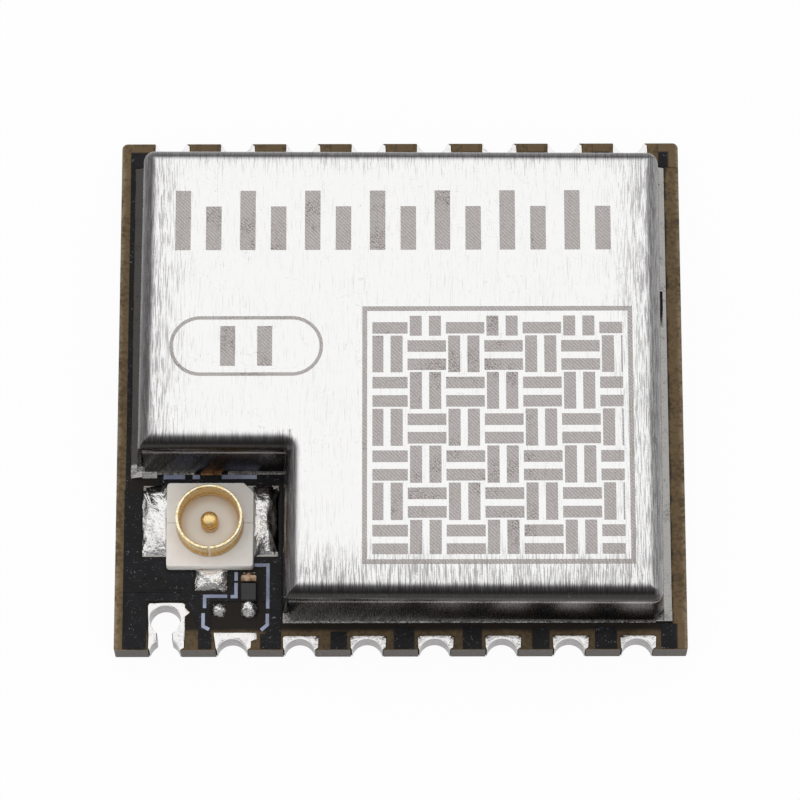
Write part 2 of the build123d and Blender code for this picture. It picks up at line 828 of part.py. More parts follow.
# Reference oscillator: ceramic base and metal lid
with BuildPart() as oscillator_base:
    with Locations(oscillator_place):
        Box(oscillator_length, oscillator_width, oscillator_base_height, align=top_middle)
with BuildPart() as oscillator_lid:
    with Locations(oscillator_place * Pos(0, 0, oscillator_base_height)):
        Box(
            oscillator_length - 2 * oscillator_lid_inset,
            oscillator_width - 2 * oscillator_lid_inset, oscillator_lid_height, align=top_middle,
        )
    chamfer(oscillator_lid.edges().filter_by(Axis.Z), oscillator_lid_inset)

# Antenna switch: a moulded body on bent leads
lead_side = switch_width / 2
with BuildPart() as antenna_switch:
    with Locations(switch_place * Pos(0, 0, switch_stand_off)):
        Box(switch_length, switch_width, switch_height - switch_stand_off, align=top_middle)
    chamfer(antenna_switch.faces().sort_by(Axis.Z)[-1].edges(), switch_edge)
with BuildPart() as one_lead:
    with BuildSketch(Plane.YZ):
        with BuildLine():
            Polyline(
                (lead_side, lead_exit_height), (lead_side, lead_exit_height + lead_sheet),
                (lead_side + 2 * lead_sheet, lead_exit_height + lead_sheet),
                (lead_side + 2 * lead_sheet, lead_sheet), (lead_side + lead_reach, lead_sheet),
                (lead_side + lead_reach, 0), (lead_side + lead_sheet, 0),
                (lead_side + lead_sheet, lead_exit_height), close=True,
            )
        make_face()
    extrude(amount=lead_width / 2, both=True)
    mirror(about=Plane.XZ)
with BuildPart() as switch_leads:
    with Locations(switch_place):
        with GridLocations(lead_pitch, 0, leads_per_side, 1):
            add(one_lead.part)

# Choke of the supply converter, with its end caps
with BuildPart() as power_inductor:
    with Locations(choke_place):
        Box(
            choke_length - 2 * choke_end, choke_width - clearance, choke_height - clearance,
            align=top_middle,
        )
with BuildPart() as power_inductor_terminals:
    with Locations(choke_place):
        with GridLocations(choke_length - choke_end, 0, 2, 1):
            Box(choke_end, choke_width, choke_height, align=top_middle)
    chamfer(power_inductor_terminals.edges().filter_by(Axis.Z), choke_edge)

# Copper lands under the parts inside the can, flush in the board
with BuildPart() as component_lands:
    with Locations(*chip_places):
        with GridLocations(chip_length, 0, 2, 1):
            Box(chip_land_length, chip_land_width, land_thickness, align=inlaid_middle)
    with Locations(radio_place):
        Box(radio_centre_pad, radio_centre_pad, land_thickness, align=inlaid_middle)
        with PolarLocations(radio_row + radio_pad_length / 4, 4):
            with GridLocations(0, radio_pad_pitch, 1, radio_pads_per_side):
                Box(
                    1.5 * radio_pad_length, radio_pad_width, land_thickness, align=inlaid_middle
                )
    with Locations(oscillator_place):
        with GridLocations(
            oscillator_length - oscillator_pad, oscillator_width - oscillator_pad, 2, 2
        ):
            Box(oscillator_pad, oscillator_pad, land_thickness, align=inlaid_middle)
    with Locations(switch_place):
        with GridLocations(lead_pitch, switch_width + lead_reach, leads_per_side, 2):
            Box(lead_width, lead_reach, land_thickness, align=inlaid_middle)
    with Locations(choke_place):
        with GridLocations(choke_length, 0, 2, 1):
            Box(choke_end, choke_width, land_thickness, align=inlaid_middle)

# Solder wedges at the ends of the small chips
with BuildPart() as end_fillets:
    with BuildSketch(Plane.XZ):
        with BuildLine():
            Polyline(
                (chip_length / 2, 0), (chip_length / 2 + fillet_run, 0),
                (chip_length / 2, fillet_rise), close=True,
            )
        make_face()
    extrude(amount=chip_width / 2, both=True)
    mirror(about=Plane.YZ)
with BuildPart() as component_solder:
    with Locations(*chip_places):
        add(end_fillets.part)

# Circuit board: the laminate around all that is let into it
with BuildPart() as circuit_board:
    with BuildSketch() as board_outline:
        Rectangle(board_length, board_width)
        fillet(board_outline.vertices().group_by(Axis.Y)[-1], board_back_corner)
        fillet(board_outline.vertices().group_by(Axis.Y)[0], board_front_corner)
        with Locations(*plain_pads, front_pads[1]):
            Circle(pad_hole_radius, mode=Mode.SUBTRACT)
        add(keyhole_opening(0), mode=Mode.SUBTRACT)
    extrude(amount=board_thickness)
    for let_in in (
        castellated_pads, wide_pad, keyhole_pad, can_land, antenna_trace, socket_lands,
        selector_lands, component_lands,
    ):
        add(let_in.part, mode=Mode.SUBTRACT)

# Names and files
pieces = {
    "circuit_board": circuit_board,
    "castellated_pads": castellated_pads,
    "wide_pad": wide_pad,
    "keyhole_pad": keyhole_pad,
    "copper_areas": copper_areas,
    "antenna_trace": antenna_trace,
    "silkscreen_lines": silkscreen_lines,
    "can_land": can_land,
    "shield_can": shield_can,
    "can_solder": can_solder,
    "socket_body": socket_body,
    "socket_shell": socket_shell,
    "socket_pin": socket_pin,
    "socket_lands": socket_lands,
    "socket_ground_solder": socket_ground_solder,
    "socket_signal_solder": socket_signal_solder,
    "selector_body": selector_body,
    "selector_terminals": selector_terminals,
    "selector_solder": selector_solder,
    "selector_lands": selector_lands,
    "transceiver": transceiver,
    "transceiver_pads": transceiver_pads,
    "oscillator_base": oscillator_base,
    "oscillator_lid": oscillator_lid,
    "antenna_switch": antenna_switch,
    "switch_leads": switch_leads,
    "power_inductor": power_inductor,
    "power_inductor_terminals": power_inductor_terminals,
    "capacitor_bodies": capacitor_bodies,
    "capacitor_terminals": capacitor_terminals,
    "resistor_bodies": resistor_bodies,
    "resistor_terminals": resistor_terminals,
    "filter_coils": filter_coils,
    "filter_coil_terminals": filter_coil_terminals,
    "component_lands": component_lands,
    "component_solder": component_solder,
}
for label, piece in pieces.items():
    piece.part.label = label
    export_step(piece.part, f"parts/{label}.step")
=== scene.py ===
"""Looks of the shielded radio module: finishes, fine surfaces, studio and camera.

Lengths in the classes below are millimetres, as on a drawing; meshes are put down in metres.
"""

import enum
import functools
import logging
import math
from dataclasses import dataclass, field
from typing import Any, Callable, Optional, Sequence, Union

import bmesh
import bpy
import numpy as np
from mathutils import Matrix, Vector


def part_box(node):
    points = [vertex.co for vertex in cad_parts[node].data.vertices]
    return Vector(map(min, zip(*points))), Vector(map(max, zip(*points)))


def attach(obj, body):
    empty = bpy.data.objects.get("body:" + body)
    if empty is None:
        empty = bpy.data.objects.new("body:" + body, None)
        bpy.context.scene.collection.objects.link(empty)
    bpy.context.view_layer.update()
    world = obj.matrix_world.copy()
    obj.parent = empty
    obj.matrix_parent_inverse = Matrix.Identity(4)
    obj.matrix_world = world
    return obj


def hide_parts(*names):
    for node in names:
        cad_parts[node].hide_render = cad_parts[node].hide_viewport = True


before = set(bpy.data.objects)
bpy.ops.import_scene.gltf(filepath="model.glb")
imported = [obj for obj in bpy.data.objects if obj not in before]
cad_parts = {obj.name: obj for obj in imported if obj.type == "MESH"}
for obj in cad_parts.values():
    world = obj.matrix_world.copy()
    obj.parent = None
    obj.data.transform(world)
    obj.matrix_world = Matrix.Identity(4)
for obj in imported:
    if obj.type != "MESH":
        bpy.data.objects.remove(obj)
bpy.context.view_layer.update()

METRES = 0.001
BODY = "root"
MOUND_ROWS = 22
MOUND_COLUMNS = 88
LOG = logging.getLogger("radio_module")

Pair = tuple[float, float]
Triple = tuple[float, float, float]
Colour = Triple
Array = np.ndarray
Settings = dict[str, Any]
Inputs = dict[Any, Any]


def srgb(red: int, green: int, blue: int) -> Colour:
    """Give the linear colour, 0 to 1, of a screen colour's parts, 0 to 255."""
    parts = [value / 255 for value in (red, green, blue)]
    return tuple(v / 12.92 if v <= 0.04045 else ((v + 0.055) / 1.055) ** 2.4 for v in parts)


def middle_of(node: str) -> Array:
    """Give the middle of a CAD node's box, in millimetres."""
    low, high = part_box(node)
    return (np.array(low) + np.array(high)) / 2 / METRES


# Shader maths


def operator(operation: str, swapped: bool = False) -> Callable[..., "Wire"]:
    """Make a method that adds a Math node.

    Args:
        operation: the node's operation.
        swapped: whether the wire comes last, as after a number and a minus sign.

    Returns:
        The method.
    """

    def method(self: "Wire", *others: "Number") -> "Wire":
        """Add the node to the wire's graph."""
        values = (*others, self) if swapped else (self, *others)
        return self.graph.wire("ShaderNodeMath", {"operation": operation}, dict(enumerate(values)))

    return method


class Wire:
    """The value of a shader socket; operators on it add Math nodes, and most gives the larger."""

    def __init__(self, graph: "Graph", socket: bpy.types.NodeSocket) -> None:
        """Wrap one output socket of a graph."""
        self.graph = graph
        self.socket = socket

    __add__ = __radd__ = operator("ADD")
    __sub__ = operator("SUBTRACT")
    __rsub__ = operator("SUBTRACT", swapped=True)
    __mul__ = __rmul__ = operator("MULTIPLY")
    __truediv__ = operator("DIVIDE")
    __pow__ = operator("POWER")
    __lt__ = operator("LESS_THAN")
    __gt__ = operator("GREATER_THAN")
    __abs__ = operator("ABSOLUTE")
    __mod__ = operator("FLOORED_MODULO")
    floor = operator("FLOOR")
    most = operator("MAXIMUM")

    def ramp(self, low: float, high: float) -> "Wire":
        """Go smoothly from 0 at low to 1 at high; low may be the larger.

        Args:
            low: where the ramp starts.
            high: where it ends.

        Returns:
            The eased value.
        """
        settings = {"interpolation_type": "SMOOTHSTEP"}
        if low < high:
            return self.graph.wire(
                "ShaderNodeMapRange", settings, {"Value": self, "From Min": low, "From Max": high}
            )
        return 1 - self.ramp(high, low)

    def between(self, low: float, high: float, edge: float) -> "Wire":
        """Give 1 from low to high, with soft edges of the given width."""
        rise = self.ramp(low - edge / 2, low + edge / 2)
        return rise * self.ramp(high + edge / 2, high - edge / 2)


Number = Union[float, Wire]
Tint = Union[Colour, Wire]


class Graph:
    """One material's nodes."""

    def __init__(self, name: str, world: Optional[bpy.types.World] = None) -> None:
        """Start an empty material, or empty a world's nodes.

        Args:
            name: the material's name.
            world: the world to use in place of a new material.
        """
        self.material = world or bpy.data.materials.new(name)
        self.material.use_nodes = True
        self.tree = self.material.node_tree
        self.tree.nodes.clear()

    def node(self, kind: str, settings: Settings, inputs: Inputs) -> bpy.types.Node:
        """Add one node.

        Args:
            kind: the node's type.
            settings: its properties, set first.
            inputs: values or wires by socket name or number.

        Returns:
            The node.
        """
        made = self.tree.nodes.new(kind)
        for key, value in settings.items():
            setattr(made, key, value)
        for key, value in inputs.items():
            self.feed(made.inputs[key], value)
        return made

    def feed(self, socket: bpy.types.NodeSocket, value: Any) -> None:
        """Link a wire to a socket, or set the socket's own value.

        Args:
            socket: the input.
            value: a wire, a number, or the parts of a colour or vector.
        """
        if isinstance(value, Wire):
            self.tree.links.new(value.socket, socket)
        elif isinstance(value, (tuple, list)) and socket.type == "RGBA":
            socket.default_value = (*value[:3], 1.0)
        else:
            socket.default_value = value

    def wire(self, kind: str, settings: Settings, inputs: Inputs, output: Any = 0) -> Wire:
        """Add one node and give one of its outputs as a wire."""
        return Wire(self, self.node(kind, settings, inputs).outputs[output])

    def mix(self, factor: Number, low: Tint, high: Tint) -> Wire:
        """Blend two colours: a factor of 0 gives the low one, 1 the high one."""
        settings = {"data_type": "RGBA", "clamp_factor": True}
        return self.wire("ShaderNodeMix", settings, {0: factor, 6: low, 7: high}, 2)

    def place(self) -> "Place":
        """Give the object coordinate in millimetres."""
        return Place(self, self.vector("MULTIPLY", self.coordinate("Object"), (1 / METRES,) * 3))

    def parts(self, vector: Wire) -> list[Wire]:
        """Split a vector."""
        split = self.node("ShaderNodeSeparateXYZ", {}, {0: vector})
        return [Wire(self, output) for output in split.outputs]

    def coordinate(self, kind: str) -> Wire:
        """Give a texture coordinate, such as Object, Normal or Generated."""
        return self.wire("ShaderNodeTexCoord", {}, {}, kind)

    def vector(self, operation: str, first: Any, second: Any) -> Wire:
        """Add a Vector Math node and give its vector."""
        return self.wire("ShaderNodeVectorMath", {"operation": operation}, {0: first, 1: second})

    def noise(self, at: Wire, scale: float, detail: float, rough: float = 0.5) -> Wire:
        """Add a noise texture, about 0.5 on average; scale is features per millimetre."""
        values = {"Vector": at, "Scale": scale, "Detail": detail, "Roughness": rough}
        return self.wire("ShaderNodeTexNoise", {}, values)

    def cells(self, at: Wire, scale: float) -> Wire:
        """Add a Voronoi texture and give the distance to its nearest point."""
        return self.wire("ShaderNodeTexVoronoi", {}, {"Vector": at, "Scale": scale})

    def bump(self, height: Number, depth: float, strength: float = 1.0) -> Wire:
        """Turn a height of 0 to 1, which stands for depth in millimetres, into a normal."""
        values = {"Height": height, "Distance": depth * METRES, "Strength": strength}
        return self.wire("ShaderNodeBump", {}, values)

    def surface(
        self, colour: Tint, rough: Number, metal: Number = 0.0, normal: Optional[Wire] = None,
        constants: Optional[dict[str, Any]] = None,
    ) -> bpy.types.Material:
        """Close the material with a Principled shader.

        Args:
            colour: base colour.
            rough: roughness.
            metal: metallic share.
            normal: the bumped normal.
            constants: other sockets, set to plain values.

        Returns:
            The material.
        """
        inputs = {"Base Color": colour, "Roughness": rough, "Metallic": metal}
        if normal is not None:
            inputs["Normal"] = normal
        shader = self.wire("ShaderNodeBsdfPrincipled", {}, {**inputs, **(constants or {})})
        self.node("ShaderNodeOutputMaterial", {}, {"Surface": shader})
        return self.material


class Place:
    """The object coordinate in millimetres, whole and in parts."""

    def __init__(self, graph: Graph, whole: Wire) -> None:
        """Split the coordinate, given in millimetres."""
        self.graph, self.whole = graph, whole
        self.x, self.y, self.z = graph.parts(whole)

    def stretched(self, x: float, y: float, z: float) -> Wire:
        """Give the coordinate with each part scaled."""
        return self.graph.vector("MULTIPLY", self.whole, (x, y, z))

    def away_from(self, x: float, y: float) -> Wire:
        """Give the distance from an upright line."""
        return ((self.x - x) ** 2.0 + (self.y - y) ** 2.0) ** 0.5


# Finishes


@dataclass(frozen=True)
class Patch:
    """A rectangle seen from above, for a mark or a darker place."""

    left: float
    right: float
    front: float
    back: float

    def mask(self, at: Place, edge: float = 0.02) -> Wire:
        """Give 1 inside the rectangle."""
        across = at.x.between(self.left, self.right, edge)
        return across * at.y.between(self.front, self.back, edge)

    def frame(self, at: Place, width: float) -> Wire:
        """Give 1 on a line of the given width just inside the rectangle's rim."""
        inner = Patch(self.left + width, self.right - width, self.front + width, self.back - width)
        return self.mask(at) * (1 - inner.mask(at))


@dataclass(frozen=True)
class Look:
    """What each finish has: the names of its material and of its slot."""

    name: str
    slot: str

    def build(self) -> bpy.types.Material:
        """Build the material."""
        g = Graph(self.name)
        return self.paint(g, g.place())

    def paint(self, g: Graph, at: Place) -> bpy.types.Material:
        """Paint the material; each finish does it in its own way."""
        raise NotImplementedError


@dataclass(frozen=True)
class SolderMask(Look):
    """Dark mask over laminate: brown, olive along the edges, with specks and a raw pale rim."""

    deep: Colour = srgb(26, 17, 11)
    edge: Colour = srgb(114, 94, 66)
    side: Colour = srgb(44, 27, 13)
    raw: Colour = srgb(150, 134, 112)
    speck: Colour = srgb(176, 168, 158)
    rough: float = 0.4
    half_length: float = 8.5
    top: float = 0.8
    can_foot: float = 7.15

    def paint(self, g: Graph, at: Place) -> bpy.types.Material:
        """Paint the material.

        Args:
            g: the material's graph.
            at: the coordinate.

        Returns:
            The material.
        """
        mottle = g.noise(at.whole, 1.6, 4.0, 0.6)
        fine = g.noise(at.whole, 9.0, 3.0, 0.6)
        side = abs(at.x) - (self.half_length - 0.42) + (mottle - 0.5) * 0.22
        front = abs(at.y) - (self.can_foot + 0.3) + (mottle - 0.5) * 0.1
        border = side.ramp(-0.05, 0.06).most(
            front.ramp(-0.12, 0.05) * (0.6 + (at.y > 0.0) * 0.3)
        )
        shade = (at.y + self.can_foot).ramp(0.1, -0.2)
        base = g.mix(shade * 0.5, self.deep, srgb(23, 18, 13))
        blotch = (fine * 0.6 + mottle * 0.4).ramp(0.36, 0.6)
        colour = g.mix(border * (0.5 + blotch * 0.6), base, self.edge)
        colour = g.mix(side.ramp(0.26, 0.42) * blotch * 0.8, colour, self.raw)
        wall = at.z.ramp(self.top - 0.01, self.top - 0.05)
        colour = g.mix(wall * 0.9, colour, self.side)
        glint = g.cells(at.whole, 3.3).ramp(0.07, 0.02) * fine.ramp(0.5, 0.62)
        colour = g.mix(glint * 0.8, colour, self.speck)
        height = mottle * 0.5 + fine * 0.35 + g.noise(at.whole, 40.0, 2.0) * 0.2
        return g.surface(
            colour, self.rough + (fine - 0.5) * 0.3, 0.0, g.bump(height, 0.02, 0.6),
            {"Specular IOR Level": 0.2},
        )


@dataclass(frozen=True)
class MaskedCopper(Look):
    """Blue-black mask over copper, with dust, hair scratches and a faint track.

    It ends short of the board's back and right edges, where the olive mask begins.
    """

    base: Colour = srgb(9, 8, 11)
    pale: Colour = srgb(24, 24, 29)
    dust: Colour = srgb(150, 152, 158)
    rough: float = 0.3
    olive: Colour = srgb(114, 94, 66)
    ridge_y: float = -6.2
    ridge_end: float = -6.5
    back_end: float = 7.72
    right_end: float = 8.2

    def paint(self, g: Graph, at: Place) -> bpy.types.Material:
        """Paint the material.

        Args:
            g: the material's graph.
            at: the coordinate.

        Returns:
            The material.
        """
        cloud = g.noise(at.whole, 2.2, 5.0, 0.6)
        grain = g.noise(at.whole, 14.0, 3.0, 0.6)
        colour = g.mix(cloud.ramp(0.42, 0.75), self.base, self.pale)
        dots = g.cells(at.whole, 5.0).ramp(0.1, 0.03) * cloud.ramp(0.48, 0.56)
        hair = abs(g.noise(at.stretched(1.0, 2.2, 1.0), 2.4, 1.0) - 0.5).ramp(0.008, 0.0)
        colour = g.mix((dots + hair * grain.ramp(0.5, 0.64)) * 0.8, colour, self.dust)
        bare = at.y.ramp(self.back_end - 0.04, self.back_end + 0.04).most(
            at.x.ramp(self.right_end - 0.04, self.right_end + 0.04)
        )
        colour = g.mix(bare * (0.6 + cloud * 0.5), colour, self.olive)
        ridge = at.y.between(self.ridge_y - 0.035, self.ridge_y + 0.035, 0.05)
        ridge = ridge * (at.x < self.ridge_end)
        height = cloud * 0.6 + grain * 0.3 + ridge
        return g.surface(
            colour, self.rough + (grain - 0.5) * 0.3, 0.0, g.bump(height, 0.025, 0.7),
            {"Specular IOR Level": 0.2},
        )


@dataclass(frozen=True)
class BrightMetal(Look):
    """Tin or solder: bright metal with an uneven, dimpled skin, painted shade darkening it down
    its sides and painted dark reflections in set patches.
    """

    base: Colour = (0.88, 0.87, 0.86)
    shade: Colour = (0.3, 0.29, 0.28)
    # Painted shade colour for the sides, below wall_top.
    wall: Colour = (0.15, 0.138, 0.142)
    rough: float = 0.2
    lump: float = 3.0
    depth: float = 0.03
    grit: float = 0.35
    stain: float = 0.5
    wall_top: float = 0.78
    # Patches of painted dark reflection, and their colour.
    dark_reflection_patches: tuple[Patch, ...] = ()
    painted_dark_reflection: Colour = (0.035, 0.033, 0.032)

    def paint(self, g: Graph, at: Place) -> bpy.types.Material:
        """Paint the material.

        Args:
            g: the material's graph.
            at: the coordinate.

        Returns:
            The material.
        """
        cloud = g.noise(at.whole, self.lump, 4.0, 0.6)
        grain = g.noise(at.whole, self.lump * 7, 4.0, 0.65)
        stain = (cloud * 0.55 + grain * 0.45).ramp(0.5, 0.68)
        colour = g.mix(stain * self.stain, self.base, self.shade)
        # Painted shade: below wall_top, on the pad barrels and other sides, the colour turns to
        # the dark wall colour.
        colour = g.mix(at.z.ramp(self.wall_top, self.wall_top - 0.05) * 0.85, colour, self.wall)
        # Painted dark reflections: mottled dark patches where the metal mirrors dark surroundings.
        for patch in self.dark_reflection_patches:
            dark = (patch.mask(at, 0.3) + (grain - 0.5) * 0.9).ramp(0.4, 0.75)
            colour = g.mix(dark * 0.9, colour, self.painted_dark_reflection)
        height = cloud + grain * self.grit
        return g.surface(
            colour, self.rough + (grain - 0.5) * 0.25, 1.0, g.bump(height, self.depth, 1.0)
        )


@dataclass(frozen=True)
class GoldPlate(Look):
    """Pale gold plating with turning marks, a scuffed rim and painted shade darkening it towards
    the bottom.
    """

    base: Colour = srgb(238, 208, 142)
    # Painted shade colour for the lower parts.
    deep: Colour = srgb(196, 148, 74)
    scuff: Colour = srgb(255, 246, 214)
    rough: float = 0.17
    floor: float = 1.2
    rim: float = 2.0

    def paint(self, g: Graph, at: Place) -> bpy.types.Material:
        """Paint the material.

        Args:
            g: the material's graph.
            at: the coordinate.

        Returns:
            The material.
        """
        ringed = g.noise(at.stretched(1.0, 1.0, 16.0), 3.0, 2.0)
        grain = g.noise(at.whole, 12.0, 4.0, 0.65)
        # Painted shade: the colour darkens towards the bottom, inside the ring and down to the
        # feet.
        colour = g.mix(at.z.ramp(self.rim - 0.1, self.floor) * 0.8, self.base, self.deep)
        worn = at.z.ramp(self.rim - 0.03, self.rim + 0.02)
        scuffed = (grain.ramp(0.45, 0.62) * 0.3).most(worn * grain.ramp(0.4, 0.55))
        colour = g.mix(scuffed, colour, self.scuff)
        return g.surface(
            colour, self.rough + (grain - 0.5) * 0.3, 1.0,
            g.bump(ringed * 0.6 + grain, 0.014, 1.0),
        )


@dataclass(frozen=True)
class Moulding(Look):
    """Moulded plastic or fired ceramic: fine grain, faint clouding, a few pits, a soft skin."""

    base: Colour
    cloud: Colour
    rough: float = 0.5
    grain: float = 22.0
    depth: float = 0.006

    def paint(self, g: Graph, at: Place) -> bpy.types.Material:
        """Paint the material.

        Args:
            g: the material's graph.
            at: the coordinate.

        Returns:
            The material.
        """
        cloud = g.noise(at.whole, 1.3, 3.0, 0.55)
        grain = g.noise(at.whole, self.grain, 3.0, 0.6)
        pit = g.cells(at.whole, 3.1).ramp(0.05, 0.02) * cloud.ramp(0.52, 0.6)
        colour = g.mix(cloud.ramp(0.35, 0.7), self.base, self.cloud)
        colour = g.mix(pit * 0.6, colour, (0.12, 0.1, 0.09))
        return g.surface(
            colour, self.rough + (grain - 0.5) * 0.2, 0.0, g.bump(grain - pit, self.depth, 1.0)
        )


@dataclass(frozen=True)
class Ivory(Look):
    """The socket's ivory moulding: a parting line across the middle, painted light on the floor
    inside the ring and a painted reflection of the gold near it.
    """

    base: Colour = srgb(243, 236, 230)
    cloud: Colour = srgb(250, 245, 240)
    # Painted reflection colour of the gold.
    painted_gold_reflection: Colour = srgb(236, 214, 186)
    line: Colour = srgb(176, 160, 148)
    rough: float = 0.45
    socket_x: float = middle_of("socket_body")[0]
    socket_y: float = middle_of("socket_body")[1]
    ring: float = 1.0
    ring_inside: float = 0.89

    def paint(self, g: Graph, at: Place) -> bpy.types.Material:
        """Paint the material.

        Args:
            g: the material's graph.
            at: the coordinate.

        Returns:
            The material.
        """
        cloud = g.noise(at.whole, 1.3, 3.0, 0.55)
        grain = g.noise(at.whole, 22.0, 3.0, 0.6)
        out = at.away_from(self.socket_x, self.socket_y)
        colour = g.mix(cloud.ramp(0.35, 0.7), self.base, self.cloud)
        # Painted light: the floor inside the ring is painted paler towards the pin.
        inside = out.ramp(self.ring_inside, 0.55)
        colour = g.mix(inside, colour, srgb(255, 251, 246))
        # Painted reflection of the gold: a tint on the floor near the ring.
        colour = g.mix((1 - inside) * (out < self.ring) * 0.6, colour, self.painted_gold_reflection)
        parting = at.y.between(self.socket_y + 0.03, self.socket_y + 0.055, 0.02)
        parting = parting * (out > self.ring)
        colour = g.mix(parting * 0.55, colour, self.line)
        rim = out.between(self.ring, self.ring + 0.02, 0.02)
        colour = g.mix(rim * 0.5, colour, self.line)
        dirt = g.cells(at.whole, 2.6).ramp(0.05, 0.02) * cloud.ramp(0.5, 0.6)
        colour = g.mix(dirt * 0.7, colour, srgb(110, 96, 84))
        return g.surface(
            colour, self.rough + (grain - 0.5) * 0.2, 0.0, g.bump(grain - parting, 0.006, 1.0),
            {"Subsurface Weight": 0.15, "Subsurface Scale": 0.0004},
        )


@dataclass(frozen=True)
class DullCopper(Look):
    """Bare copper, browned, with a half-gloss skin."""

    base: Colour = srgb(176, 128, 88)
    brown: Colour = srgb(98, 66, 44)
    rough: float = 0.36

    def paint(self, g: Graph, at: Place) -> bpy.types.Material:
        """Paint the material.

        Args:
            g: the material's graph.
            at: the coordinate.

        Returns:
            The material.
        """
        cloud = g.noise(at.whole, 4.0, 4.0, 0.6)
        colour = g.mix(cloud.ramp(0.4, 0.65), self.base, self.brown)
        return g.surface(
            colour, self.rough + (cloud - 0.5) * 0.3, 0.85, g.bump(cloud, 0.02, 0.6)
        )


